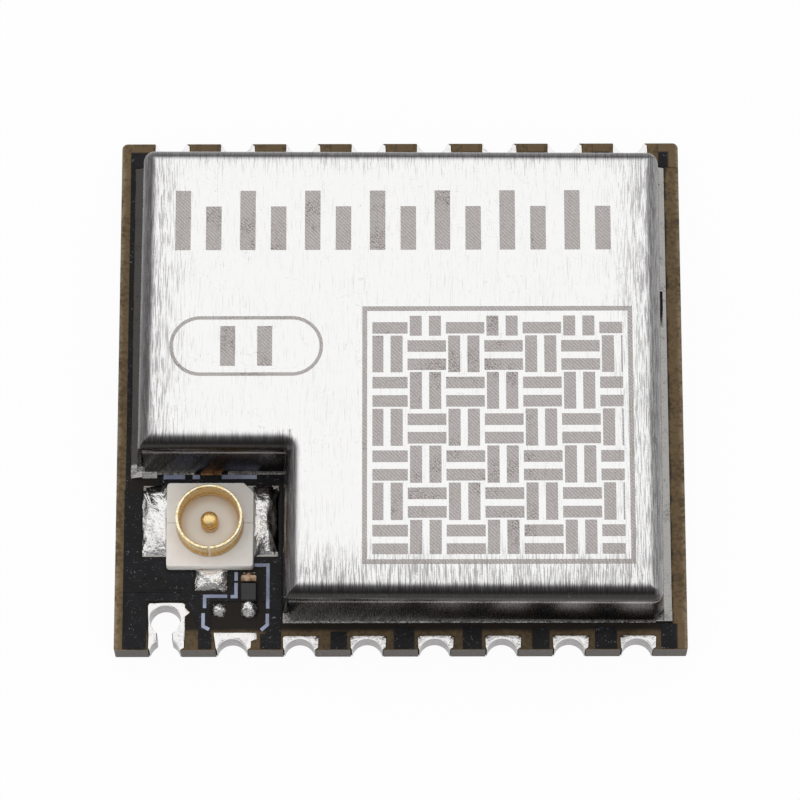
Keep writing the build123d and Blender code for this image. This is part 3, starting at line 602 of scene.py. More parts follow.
@dataclass(frozen=True)
class CanSheet(Look):
    """Bright tin plate with fine lines front to back, painted shade and dark painted reflections
    on its walls and bends, a painted highlight at the front bend's foot, and plain marks.

    The marks are generic: a row of paired bars, two bars in a pill-shaped ring, and a square of
    basket weave in a thin frame.
    """

    base: Colour = (0.9, 0.895, 0.89)
    worn: Colour = (0.3, 0.29, 0.29)
    # Painted shade colour for the walls.
    wall: Colour = (0.4, 0.385, 0.375)
    # Painted shade colour for the bends.
    painted_bend_shade: Colour = (0.1, 0.094, 0.098)
    # Painted shade colour for the front bend's lower half.
    painted_front_bend_shade: Colour = (0.03, 0.027, 0.027)
    # Painted dark reflection colour for faces turned to the front.
    painted_front_reflection: Colour = (0.085, 0.075, 0.075)
    etched: Colour = srgb(156, 147, 143)
    etched_dark: Colour = srgb(98, 84, 80)
    rough: float = 0.2
    lid: float = 3.2
    bend_foot: float = 2.6
    half_length: float = 7.2
    front: float = -6.35
    back: float = 6.4
    bars: Patch = Patch(-6.72, 6.3, 3.71, 5.59)
    bar_pitch: float = 1.94
    pill: Patch = Patch(-6.85, -2.29, -0.24, 1.62)
    pill_line: float = 0.1
    square: Patch = Patch(-1.12, 6.9, -6.04, 1.92)
    tile: float = 1.14
    hatch_pitch: float = 0.115

    def lines(self, g: Graph, at: Place) -> Wire:
        """Give the rolled lines, which run front to back over the lid and down the walls.

        Args:
            g: the material's graph.
            at: the coordinate.

        Returns:
            The lines, about 0.5 on average.
        """
        coarse = g.noise(at.stretched(7.0, 0.5, 0.7), 1.0, 4.0, 0.65)
        fine = g.noise(at.stretched(42.0, 1.7, 2.4), 1.0, 3.0, 0.6)
        return coarse * 0.18 + fine * 0.82

    def paired_bars(self, at: Place) -> Wire:
        """Give the title strip's bars: two to each pitch, the right one a little shorter.

        Args:
            at: the coordinate.

        Returns:
            The bars' mask.
        """
        run = (at.x - self.bars.left) % self.bar_pitch
        left = run.between(0.0, 0.46, 0.03)
        right = run.between(0.92, 1.38, 0.03) * (at.y < self.bars.back - 0.5)
        return (left + right) * self.bars.mask(at)

    def pill_ring(self, at: Place) -> Wire:
        """Give the pill-shaped ring and its two bars.

        The distance to the pill's spine is the length left after the part along the spine is
        taken off; the ring is where it lies near the pill's half height.

        Args:
            at: the coordinate.

        Returns:
            Their mask.
        """
        p = self.pill
        radius = (p.back - p.front) / 2
        middle_x, middle_y = (p.left + p.right) / 2, (p.front + p.back) / 2
        past = (abs(at.x - middle_x) - ((p.right - p.left) / 2 - radius)).most(0.0)
        out = (past ** 2.0 + (at.y - middle_y) ** 2.0) ** 0.5
        ring = out.between(radius - self.pill_line, radius, 0.03)
        bar = abs(at.y - middle_y).between(-1.0, 0.62, 0.03)
        first = abs(at.x - (middle_x - 0.55)).between(-1.0, 0.22, 0.03)
        second = abs(at.x - (middle_x + 0.55)).between(-1.0, 0.22, 0.03)
        return ring.most((first + second) * bar)

    def weave(self, at: Place) -> Wire:
        """Give the basket weave: tiles of two bars, laid across and along by turns.

        Args:
            at: the coordinate.

        Returns:
            Its mask.
        """
        s = self.square
        u, v = (at.x - s.left - 0.2) / self.tile, (at.y - s.front - 0.2) / self.tile
        turn = (u.floor() + v.floor()) % 2.0
        across = (u * 2.0) % 1.0
        deep = (v * 2.0) % 1.0
        bar = turn * across.between(0.12, 0.74, 0.05) + (1 - turn) * deep.between(0.12, 0.74, 0.05)
        inner = Patch(s.left + 0.3, s.right - 0.3, s.front + 0.3, s.back - 0.3)
        return (bar * inner.mask(at)).most(s.frame(at, 0.14))

    def paint(self, g: Graph, at: Place) -> bpy.types.Material:
        """Paint the material.

        Args:
            g: the material's graph.
            at: the coordinate.

        Returns:
            The material.
        """
        lines = self.lines(g, at)
        cloud = g.noise(at.whole, 0.8, 5.0, 0.62)
        grit = g.noise(at.whole, 26.0, 4.0, 0.7)
        sides = abs(at.x).ramp(self.half_length - 1.5, self.half_length + 0.4)
        front = at.y.ramp(self.front + 1.5, self.front - 0.05)
        back = at.y.ramp(self.back - 0.5, self.back + 0.3) * 0.6
        notch = at.x.between(-3.5, -3.1, 0.2) * (at.y < -1.9) * 0.8
        rim = sides.most(front).most(back).most(notch)
        hair = (lines + rim * 0.1 + (cloud - 0.5) * 0.12 + (grit - 0.5) * 0.2).ramp(0.56, 0.65)
        colour = g.mix(hair * (0.22 + rim * 0.6), self.base, self.worn)
        # Painted shade: the walls below the lid take the darker wall colour, standing in for the
        # dark surroundings they mirror.
        down = at.z.ramp(self.lid - 0.08, self.bend_foot + 0.1)
        colour = g.mix(down * (0.75 + lines * 0.4), colour, self.wall)
        # Painted shade on the bends, darker where they face left or back.
        bend = at.z.between(self.bend_foot + 0.12, self.lid - 0.05, 0.08)
        sideways, deep, _ = g.parts(g.coordinate("Normal"))
        away = sideways.ramp(-0.1, -0.3).most(deep.ramp(0.1, 0.3))
        colour = g.mix(bend * (0.45 + lines * 0.5 + away * 0.25), colour, self.painted_bend_shade)
        # Painted dark reflection on faces turned to the front.
        facing = 0 - deep
        ahead = (facing + (lines - 0.5) * 1.1).ramp(0.14, 0.86) * facing.ramp(0.05, 0.2)
        colour = g.mix(ahead * (0.8 + lines * 0.3), colour, self.painted_front_reflection)
        # Painted shade, near black, on the lower half of the front bend.
        under = facing.ramp(0.5, 0.8) * at.z.ramp(self.bend_foot, self.bend_foot + 0.06)
        colour = g.mix(under * 0.7, colour, self.painted_front_bend_shade)
        # Painted highlight: a pale line along the top of the front wall, where it meets the bend.
        crease = at.z.between(self.bend_foot - 0.12, self.bend_foot + 0.02, 0.06)
        crease = crease * grit.ramp(0.3, 0.62) * facing.ramp(0.5, 0.8)
        colour = g.mix(crease, colour, (0.5, 0.46, 0.45))
        top = at.z > self.lid - 0.01
        marks = self.paired_bars(at).most(self.pill_ring(at)).most(self.weave(at)) * top
        ragged = (marks + (grit - 0.5) * 0.5).ramp(0.42, 0.58) * marks.ramp(0.0, 0.2)
        rows = ((at.x + at.y) / self.hatch_pitch) % 1.0
        dots = rows.between(0.25, 0.75, 0.3) * 0.45 + grit.ramp(0.42, 0.6) * 0.45
        colour = g.mix(ragged * (0.55 + dots * 0.5), colour, self.etched)
        patchy = cloud.ramp(0.52, 0.62) * (at.x < 4.0) * grit.ramp(0.5, 0.6)
        colour = g.mix(ragged * patchy * 0.85, colour, self.etched_dark)
        scuff = abs(g.noise(at.stretched(0.8, 1.3, 1.0), 1.1, 2.0) - 0.5).ramp(0.004, 0.0)
        colour = g.mix(scuff * grit.ramp(0.45, 0.6) * 0.4, colour, self.worn)
        rough = self.rough + (cloud - 0.5) * 0.15 + ragged * 0.35 + hair * 0.1
        height = lines + grit * 0.1 * top - ragged * 0.6
        # The painted highlight line is also made less metallic.
        metal = 1 - (ragged * 0.85).most(crease * 0.8)
        return g.surface(colour, rough, metal, g.bump(height, 0.012, 1.0))


class Finish(enum.Enum):
    """Every finish of the module, by its use."""

    MASK = SolderMask("mask_over_laminate", "laminate")
    COPPER_UNDER_MASK = MaskedCopper("mask_over_copper", "masked_copper")
    TIN = BrightMetal("tinned_copper", "tinned_copper")
    SOLDER = BrightMetal(
        "reflowed_solder", "solder", shade=(0.2, 0.19, 0.17), rough=0.14, lump=2.4, depth=0.11,
        stain=0.8, grit=0.1,
        # Painted dark reflections on parts of the ground solder.
        dark_reflection_patches=(Patch(-3.95, -3.5, -5.0, -2.9), Patch(-7.8, -7.1, -3.2, -2.8)),
    )
    # A darker copy of the bright solder: its dark base is painted shade, and its patch is a
    # painted dark reflection along the can's left side.
    SEAM = BrightMetal(
        "shaded_seam_solder", "solder", base=(0.38, 0.37, 0.355), shade=(0.12, 0.115, 0.11), rough=0.28,
        lump=2.2, depth=0.05, stain=0.8, dark_reflection_patches=(Patch(-8.3, -7.75, -2.3, 7.6),),
    )
    GOLD = GoldPlate("gold_plate", "gold_contact")
    CAN = CanSheet("can_sheet", "can_sheet")
    INSULATOR = Ivory("ivory_insulator", "insulator")
    TRACE = DullCopper("browned_copper", "bare_trace")
    BROWNED = DullCopper(
        "browned_end_caps", "tinned_copper", srgb(172, 146, 122), srgb(92, 70, 54), rough=0.3
    )
    INK = Moulding("pale_ink", "print_ink", srgb(166, 174, 198), srgb(128, 134, 158), rough=0.6)
    CHIP = Moulding("chip_ceramic", "chip_ceramic", srgb(60, 52, 50), srgb(44, 40, 40), rough=0.4)
    BLACK = Moulding(
        "black_moulding", "moulded_plastic", srgb(24, 23, 26), srgb(34, 33, 36), rough=0.36
    )
    WHITE = Moulding(
        "white_ceramic", "white_ceramic", srgb(222, 220, 212), srgb(206, 203, 196), rough=0.45
    )
    FERRITE = Moulding("ferrite_core", "ferrite", srgb(58, 56, 57), srgb(44, 43, 45), rough=0.55)


@functools.cache
def finish(choice: Finish) -> bpy.types.Material:
    """Give a finish's material, built on first use."""
    return choice.value.build()


def dress(node: str, choice: Finish) -> None:
    """Give a CAD node its finish.

    Args:
        node: the CAD node's name.
        choice: its finish.
    """
    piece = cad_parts[node]
    piece.data.materials.clear()
    piece.data.materials.append(finish(choice))


# Surfaces worked out with numpy


def rectangle(left: float, right: float, front: float, back: float) -> list[Pair]:
    """Give a rectangle's corners, counterclockwise from the front left."""
    return [(left, front), (right, front), (right, back), (left, back)]


def arc(radius: float, start: float, end: float, count: int, rise: float) -> Array:
    """Give points (radius cos a, radius sin a + rise), with a spread evenly from start to end."""
    angle = np.linspace(start, end, count)
    return np.stack([radius * np.cos(angle), radius * np.sin(angle) + rise], axis=1)


def soften(points: Sequence[Pair], rounds: int = 2, closed: bool = False) -> Array:
    """Round a line of points by cutting its corners.

    In each round a stretch from a to b gives the points a quarter and three quarters of the way
    along it; an open line keeps its two ends.

    Args:
        points: the line's points.
        rounds: how often it is cut.
        closed: whether the last point joins the first.

    Returns:
        The rounded line.
    """
    line = np.array(points, dtype=float)
    for _ in range(rounds):
        ahead = np.roll(line, -1, axis=0)
        cut = np.stack([0.75 * line + 0.25 * ahead, 0.25 * line + 0.75 * ahead], axis=1)
        if closed:
            line = cut.reshape(-1, 2)
        else:
            line = np.concatenate([line[:1], cut[:-1].reshape(-1, 2), line[-1:]])
    return line


def along(points: Sequence[Pair], count: int) -> Array:
    """Spread points evenly over a line, by the distance run along it.

    Args:
        points: the line's points.
        count: how many points to give.

    Returns:
        The even points.
    """
    line = np.array(points, dtype=float)
    run = np.concatenate([[0.0], np.cumsum(np.linalg.norm(np.diff(line, axis=0), axis=1))])
    at = np.linspace(0.0, run[-1], count)
    return np.stack([np.interp(at, run, line[:, i]) for i in range(2)], axis=1)


def rolled_edge(height: float, reach: float) -> Array:
    """Give rows of inset and height that go up a wall and over its rounded edge."""
    edge = soften([(0.0, 0.0), (0.0, height), (reach, height)], 3)
    return np.concatenate([[(0.0, 0.0)], edge[1:-1], [(reach + 0.01, height)]])


@dataclass(frozen=True)
class Outline:
    """A closed outline, counterclockwise, with an arc at each corner, that can be set in."""

    corners: Sequence[Pair]
    radii: Sequence[float]
    steps: int = 8
    least: float = 0.015

    def at(self, insets: Array) -> Array:
        """Give the outline at each inset.

        A corner moves inwards along its diagonal by the inset, and its arc's radius shrinks by
        the inset, or grows where the corner points inwards. A point on the arc is the centre
        plus the radius times a direction that turns evenly from one side's normal to the next.

        Args:
            insets: how far inwards each row lies.

        Returns:
            Points, one row for each inset.
        """
        corners = np.array(self.corners, dtype=float)
        ahead = np.roll(corners, -1, axis=0) - corners
        ahead /= np.linalg.norm(ahead, axis=1, keepdims=True)
        behind = np.roll(ahead, 1, axis=0)
        cross = behind[:, 0] * ahead[:, 1] - behind[:, 1] * ahead[:, 0]
        turn = np.arctan2(cross, np.sum(behind * ahead, axis=1))
        side = np.sign(turn)
        before = np.stack([behind[:, 1], -behind[:, 0]], axis=1)
        after = np.stack([ahead[:, 1], -ahead[:, 0]], axis=1)
        diagonal = (before + after) / (1 + np.sum(before * after, axis=1, keepdims=True))
        inset = np.asarray(insets, dtype=float)[:, None]
        reach = side * np.maximum(np.array(self.radii) - side * inset, self.least)
        sweep = np.arctan2(before[:, 1], before[:, 0])[:, None]
        sweep = sweep + turn[:, None] * np.linspace(0, 1, self.steps)
        spoke = np.stack([np.cos(sweep), np.sin(sweep)], axis=-1)
        centre = corners - diagonal * (inset + reach)[..., None]
        points = centre[:, :, None] + reach[..., None, None] * spoke
        return points.reshape(len(inset), -1, 2)


@dataclass
class Skin:
    """A grid of points joined to faces that point outwards.

    Rows run upwards and columns counterclockwise, seen from above.
    """

    points: Array
    around: bool = True
    rows_close: bool = False
    caps: bool = True
    open_faces: Optional[Array] = None

    def faces(self, first: int) -> list[list[int]]:
        """Give the faces: one for each grid cell that isn't left open, and the end caps.

        Args:
            first: number of the skin's first point in the mesh.

        Returns:
            Lists of point numbers.
        """
        rows, columns = self.points.shape[:2]
        number = np.arange(rows * columns).reshape(rows, columns) + first
        if self.around:
            number = np.concatenate([number, number[:, :1]], axis=1)
        if self.rows_close:
            number = np.concatenate([number, number[:1]], axis=0)
        cells = np.stack(
            [number[:-1, :-1], number[:-1, 1:], number[1:, 1:], number[1:, :-1]], axis=-1
        )
        if self.open_faces is not None:
            cells = cells[~self.open_faces]
        made = cells.reshape(-1, 4).tolist()
        if self.caps and self.rows_close:
            made += [number[:-1, 0].tolist(), number[:-1, -1][::-1].tolist()]
        elif self.caps:
            last = columns if self.around else None
            made += [number[0, :last][::-1].tolist(), number[-1, :last].tolist()]
        return made


def stacked(outline: Outline, steps: Array, base: float) -> Skin:
    """Carry a profile round an outline.

    Args:
        outline: the outline in plan.
        steps: the profile's rows: inset and height.
        base: height of the profile's zero.

    Returns:
        The closed skin.
    """
    plan = outline.at(steps[:, 0])
    height = np.broadcast_to((steps[:, 1] + base)[:, None, None], plan.shape[:2] + (1,))
    return Skin(np.concatenate([plan, height], axis=2))


def turned(
    profile: Array, x: float, y: float, base: float, columns: int = 96, slit: float = 0.0
) -> Skin:
    """Turn a profile about an upright axis: a point is (radius cos a, radius sin a, height).

    Args:
        profile: rows of radius and height.
        x: the axis's place.
        y: the axis's place.
        base: height of the profile's zero.
        columns: points round the axis.
        slit: angle left out at the front; above zero the profile is a closed loop.

    Returns:
        The closed skin.
    """
    start = -math.pi / 2 + slit / 2
    angle = start + np.linspace(0, 2 * math.pi - slit, columns, endpoint=slit > 0)
    radius, height = profile[:, 0][:, None], profile[:, 1][:, None]
    parts = [x + radius * np.cos(angle), y + radius * np.sin(angle), base + height + 0 * angle]
    return Skin(np.stack(parts, axis=-1), around=slit == 0, rows_close=slit > 0)


def mound(
    middle: Pair, half: Pair, height: float, base: float,
    square: float = 1.0, fall: float = 2.0, lean: Pair = (0.0, 0.0),
    lump: float = 0.06, seed: int = 1,
) -> Skin:
    """Heap up a mass of solder over a rounded footprint.

    A point at angle a and share s of the way out lies at s times the half sizes times cos a and
    sin a, each raised to the power `square`, and stands at height times (1 - s to the power
    `fall`), leaning as asked, plus a few low waves with seeded phases that die at the edge. Two
    waves round the rim, of 4 and 3 percent, make it ragged, and it stays within the half sizes.

    Args:
        middle: the footprint's middle.
        half: its half sizes.
        height: height at the middle.
        base: height of the ground.
        square: 1 for an ellipse, less for a squarer footprint.
        fall: how late the height falls towards the edge.
        lean: share by which the height grows towards +x and +y.
        lump: share of the height in the waves.
        seed: picks the waves.

    Returns:
        The closed skin.
    """
    share = np.sin(np.linspace(math.pi / 2, 0.02, MOUND_ROWS))[:, None]
    angle = np.linspace(0, 2 * math.pi, MOUND_COLUMNS, endpoint=False)[None, :]
    across = np.sign(np.cos(angle)) * np.abs(np.cos(angle)) ** square
    deep = np.sign(np.sin(angle)) * np.abs(np.sin(angle)) ** square
    rng = np.random.default_rng(seed)
    phase = rng.uniform(0, 2 * math.pi, (5, 2))
    pace = rng.uniform(2.0, 7.0, (5, 2))
    ragged = 1 + 0.04 * np.sin(5 * angle + phase[0, 0]) + 0.03 * np.sin(11 * angle + phase[1, 0])
    px, py = share * across * ragged / 1.07, share * deep * ragged / 1.07
    waves = sum(
        np.sin(pace[i, 0] * px + phase[i, 0]) * np.sin(pace[i, 1] * py + phase[i, 1])
        for i in range(5)
    )
    rise = (1 - share ** fall) * (1 + lean[0] * px + lean[1] * py)
    rise = np.clip(rise + lump * waves * (1 - share ** 2), 0.0, 1.0)
    parts = [middle[0] + half[0] * px, middle[1] + half[1] * py, base + height * rise]
    return Skin(np.stack(parts, axis=-1))


def put(name: str, data: Any) -> bpy.types.Object:
    """Add an object to the scene.

    Args:
        name: its name.
        data: its mesh, camera or light.

    Returns:
        The object.
    """
    made = bpy.data.objects.new(name, data)
    bpy.context.scene.collection.objects.link(made)
    return made


def lay(
    name: str, skins: Sequence[Skin], choice: "Finish", stands_for: Sequence[str],
    crease: float = 38.0, closed: bool = True,
) -> bpy.types.Object:
    """Put skins into one mesh, dress it and let it stand for its CAD nodes.

    Args:
        name: the piece's name.
        skins: its surfaces, in millimetres.
        choice: its finish.
        stands_for: the CAD nodes that it replaces.
        crease: angle in degrees past which an edge stays sharp.
        closed: whether every skin is closed; its normals are then turned outwards.

    Returns:
        The piece.
    """
    points, faces = [], []
    for skin in skins:
        faces += skin.faces(sum(len(part) for part in points))
        points.append(skin.points.reshape(-1, 3))
    mesh = bpy.data.meshes.new(name)
    mesh.from_pydata((np.concatenate(points) * METRES).tolist(), [], faces)
    if closed:
        work = bmesh.new()
        work.from_mesh(mesh)
        bmesh.ops.recalc_face_normals(work, faces=work.faces[:])
        work.to_mesh(mesh)
        work.free()
    mesh.polygons.foreach_set("use_smooth", np.ones(len(mesh.polygons), dtype=bool))
    mesh.set_sharp_from_angle(angle=math.radians(crease))
    mesh.validate()
    piece = put(name, mesh)
    mesh.materials.append(finish(choice))
    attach(piece, BODY)
    if stands_for:
        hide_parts(*stands_for)
    return piece


# The module's sub-assemblies


@dataclass
class Board:
    """Circuit board with its masked copper, printed lines and half-round pads."""

    half_width: float = 8.0
    top: float = 0.8
    pitch: float = 2.0
    pads: int = 8
    hole: float = 0.46
    set_out: float = 0.11
    plating: float = 0.04
    land_left: float = 0.5
    land_right: float = 0.58
    land_reach: float = 0.43
    bottom_reach: float = 1.0
    edge_gap: float = 0.08
    land_rise: float = 0.015
    land_tuck: float = 0.02
    land_cut: float = 0.04
    key_from_edge: float = 0.925
    key_hole: float = 0.455
    key_neck: float = 0.225
    key_land: Triple = (0.5, 0.61, 1.45)
    spike: float = 0.15
    wide_land: Triple = (0.56, 0.74, 0.54)
    wide_tail: float = 0.2
    finishes: dict[str, Finish] = field(default_factory=lambda: {
        "circuit_board": Finish.MASK, "copper_areas": Finish.COPPER_UNDER_MASK,
        "antenna_trace": Finish.TRACE, "silkscreen_lines": Finish.INK, "can_land": Finish.SEAM,
    })

    def pad(self, x: float, side: int, opening: Array, upper: Array, lower: Array) -> Skin:
        """Make one pad: a barrel along an opening, with a land on each face.

        Each row of the profile lies a share of the way from the opening to a land's rim, at its
        own height: up the barrel, over its rounded mouth, out over the upper land, down its
        edge, back under it to the plating, and out and back over the lower land.

        Args:
            x: the pad's place along the edge.
            side: -1 for the front edge, 1 for the back edge.
            opening: the opening's points, from right to left, inwards from the edge.
            upper: the upper land's rim, matched to the opening's points.
            lower: the lower land's rim.

        Returns:
            The closed skin.
        """
        skin = self.plating
        out = np.linalg.norm(upper - opening, axis=1, keepdims=True)
        plated = opening + (upper - opening) * np.minimum(skin / np.maximum(out, skin), 1.0)
        rise = self.top + self.land_rise
        rows = [
            (opening, opening, 0.0, 0.0), (opening, opening, 0.0, self.top - 0.03),
            (opening, upper, 0.03, self.top - 0.005), (opening, upper, 0.1, rise),
            (opening, upper, 0.5, rise + 0.004), (opening, upper, 0.92, rise),
            (opening, upper, 1.0, self.top - 0.005), (opening, upper, 1.0, self.top - skin),
            (plated, plated, 0.0, self.top - skin), (plated, plated, 0.0, skin),
            (opening, lower, 1.0, skin), (opening, lower, 1.0, 0.0),
        ]
        shape = np.stack([near + (far - near) * share for near, far, share, _ in rows])
        height = np.array([row[3] for row in rows])[:, None] + 0 * shape[..., 0]
        across = x - shape[..., 0] * side
        deep = (self.half_width - shape[..., 1]) * side
        return Skin(np.stack([across, deep, height], axis=-1), around=False, rows_close=True)

    def plain_opening(self, count: int) -> Array:
        """Give the half hole's arc inside the board: (radius cos a, radius sin a - set out)."""
        start = math.asin(self.set_out / self.hole)
        return arc(self.hole, start, math.pi - start, count, -self.set_out)

    def rim(self, right: float, left: float, reach: float, count: int) -> Array:
        """Give a land's rim: up its right side, along its inner side and down its left side.

        Args:
            right: its reach to the right.
            left: its reach to the left.
            reach: its reach inwards.
            count: how many points to give.

        Returns:
            The rim's points.
        """
        gap, cut, tuck = self.edge_gap, self.land_cut, self.land_tuck
        line = [
            (right - tuck, gap), (right, reach - cut), (right - cut, reach), (cut - left, reach),
            (-left, reach - cut), (tuck - left, gap),
        ]
        return along(line, count)

    def plain_pads(self) -> list[Skin]:
        """Make the plain pads of both edges.

        Returns:
            The pads' skins.
        """
        count = 49
        skins = []
        first = -self.pitch * (self.pads - 1) / 2
        for side in (-1, 1):
            for i in range(2 if side < 0 else 0, self.pads):
                right, left = self.land_right, self.land_left
                if side > 0:
                    right, left = left, right
                skins.append(self.pad(
                    first + i * self.pitch, side, self.plain_opening(count),
                    self.rim(right, left, self.land_reach, count),
                    self.rim(right, left, self.bottom_reach, count),
                ))
        return skins

    def wide_pad(self) -> Skin:
        """Make the second front pad, whose land is wider and has a tail on its right.

        Returns:
            The closed skin.
        """
        count = 65
        left, right, reach = self.wide_land
        line = [
            (self.land_right - self.land_tuck, self.edge_gap),
            (self.land_right, reach - self.wide_tail), (right, reach - self.wide_tail),
            (right, reach), (-left, reach), (self.land_tuck - self.land_left, self.edge_gap),
        ]
        x = self.pitch * (3 - self.pads) / 2
        lower = self.rim(self.land_left, self.land_left, self.bottom_reach, count)
        return self.pad(x, -1, self.plain_opening(count), along(line, count), lower)

    def keyhole_pad(self) -> Skin:
        """Make the first front pad: a round hole whose neck opens to the edge.

        The opening runs from the flare's arc up the neck's side, round the hole and back.

        Returns:
            The closed skin.
        """
        count = 121
        left, right, reach = self.key_land
        start, end = math.asin(self.set_out / self.hole), math.acos(self.key_neck / self.hole)
        flare = arc(self.hole, start, end, 9, -self.set_out)
        meet = math.asin(self.key_neck / self.key_hole) - math.pi / 2
        bow = arc(self.key_hole, meet, math.pi / 2, 40, self.key_from_edge)
        half = np.concatenate([flare, bow])
        opening = along(np.concatenate([half, half[::-1][1:] * (-1, 1)]), count)
        cut, tuck = self.land_cut + 0.01, self.land_tuck
        line = [
            (right - tuck, self.edge_gap), (right, reach - 2 * self.spike),
            (right + self.spike, reach - 2 * self.spike), (right, reach - self.spike),
            (right, reach - cut), (right - cut, reach), (cut - left, reach),
            (-left, reach - cut), (tuck - left, self.edge_gap),
        ]
        rim = along(line, count)
        x = self.pitch * (1 - self.pads) / 2
        return self.pad(x, -1, opening, rim, rim)

    def build(self) -> None:
        """Dress the board's CAD nodes and lay its pads."""
        for node, choice in self.finishes.items():
            dress(node, choice)
        for name, skins, node in (
            ("plain_pads", self.plain_pads(), "castellated_pads"),
            ("second_front_pad", [self.wide_pad()], "wide_pad"),
            ("keyhole_front_pad", [self.keyhole_pad()], "keyhole_pad"),
        ):
            lay(name, skins, Finish.TIN, [node], crease=45.0)


@dataclass
class Shield:
    """Shield can, a folded sheet with open corners beside the notch, and its solder."""

    left: float = -7.73
    right: float = 7.71
    front: float = -6.97
    back: float = 6.97
    notch_x: float = -3.34
    notch_y: float = -2.413
    base: float = 0.8
    height: float = 2.4
    bend: float = 0.6
    sheet: float = 0.15
    lean: float = 3.5
    skew: float = -0.3
    corner: float = 0.3
    free_corner: float = 0.1
    steps: int = 9
    slot_top: float = 1.95

    def profile(self) -> Array:
        """Give the outer profile, from the foot to the lid's rim, as inset and height.

        The wall leans in evenly with height; the bend is an arc whose centre lies its radius
        below the lid and its radius inside the wall.

        Returns:
            Rows of inset and height.
        """
        lean = math.radians(self.lean)
        spread = self.height * math.tan(lean)
        wall_end = self.height - self.bend + self.bend * math.sin(lean)
        rise = np.array([0.0, 0.2, 0.6, 1.2, self.height - self.bend - 0.06, wall_end])
        wall = np.stack([-spread * (1 - rise / self.height), rise], axis=1)
        centre = self.bend * (1 - math.sin(lean)) / math.cos(lean)
        bow = arc(self.bend, lean, math.pi / 2, 15, self.height - self.bend)[1:]
        return np.concatenate([wall, bow * (-1, 1) + (centre, 0.0)])

    def skin(self) -> Skin:
        """Make the outer surface: the profile carried round the L, turned a little as fitted.

        Returns:
            The skin, open at its foot, its top and the two free corners.
        """
        corners = [
            (self.left, self.notch_y), (self.notch_x, self.notch_y), (self.notch_x, self.front),
            (self.right, self.front), (self.right, self.back), (self.left, self.back),
        ]
        radii = [self.free_corner] * 3 + [self.corner] * 3
        rows = self.profile()
        made = stacked(Outline(corners, radii, self.steps), rows, self.base)
        cos, sin = math.cos(math.radians(self.skew)), math.sin(math.radians(self.skew))
        made.points[..., :2] = made.points[..., :2] @ [[cos, sin], [-sin, cos]]
        column = np.arange(len(corners) * self.steps)
        at_slot = (column // self.steps == 0) | (column // self.steps == 2)
        at_slot &= column % self.steps < self.steps - 1
        low = rows[:-1, 1] < self.slot_top
        made.open_faces = low[:, None] & at_slot[None, :]
        made.caps = False
        return made

    def build(self) -> None:
        """Build the can and dress its solder."""
        skin = self.skin()
        can = lay(
            "shield_can_sheet", [skin], Finish.CAN, ["shield_can"], crease=50.0, closed=False
        )
        close_top(can, skin)
        solid = can.modifiers.new("solidify", "SOLIDIFY")
        solid.thickness = self.sheet * METRES
        solid.offset = -1.0
        dress("can_solder", Finish.SEAM)


def close_top(piece: bpy.types.Object, skin: Skin) -> None:
    """Add the flat face that closes a skin's last row.

    Args:
        piece: the piece made of that skin alone.
        skin: the skin.
    """
    rows, columns = skin.points.shape[:2]
    mesh = piece.data
    work = bmesh.new()
    work.from_mesh(mesh)
    work.verts.ensure_lookup_table()
    face = work.faces.new(work.verts[(rows - 1) * columns:rows * columns])
    face.smooth = True
    work.to_mesh(mesh)
    work.free()


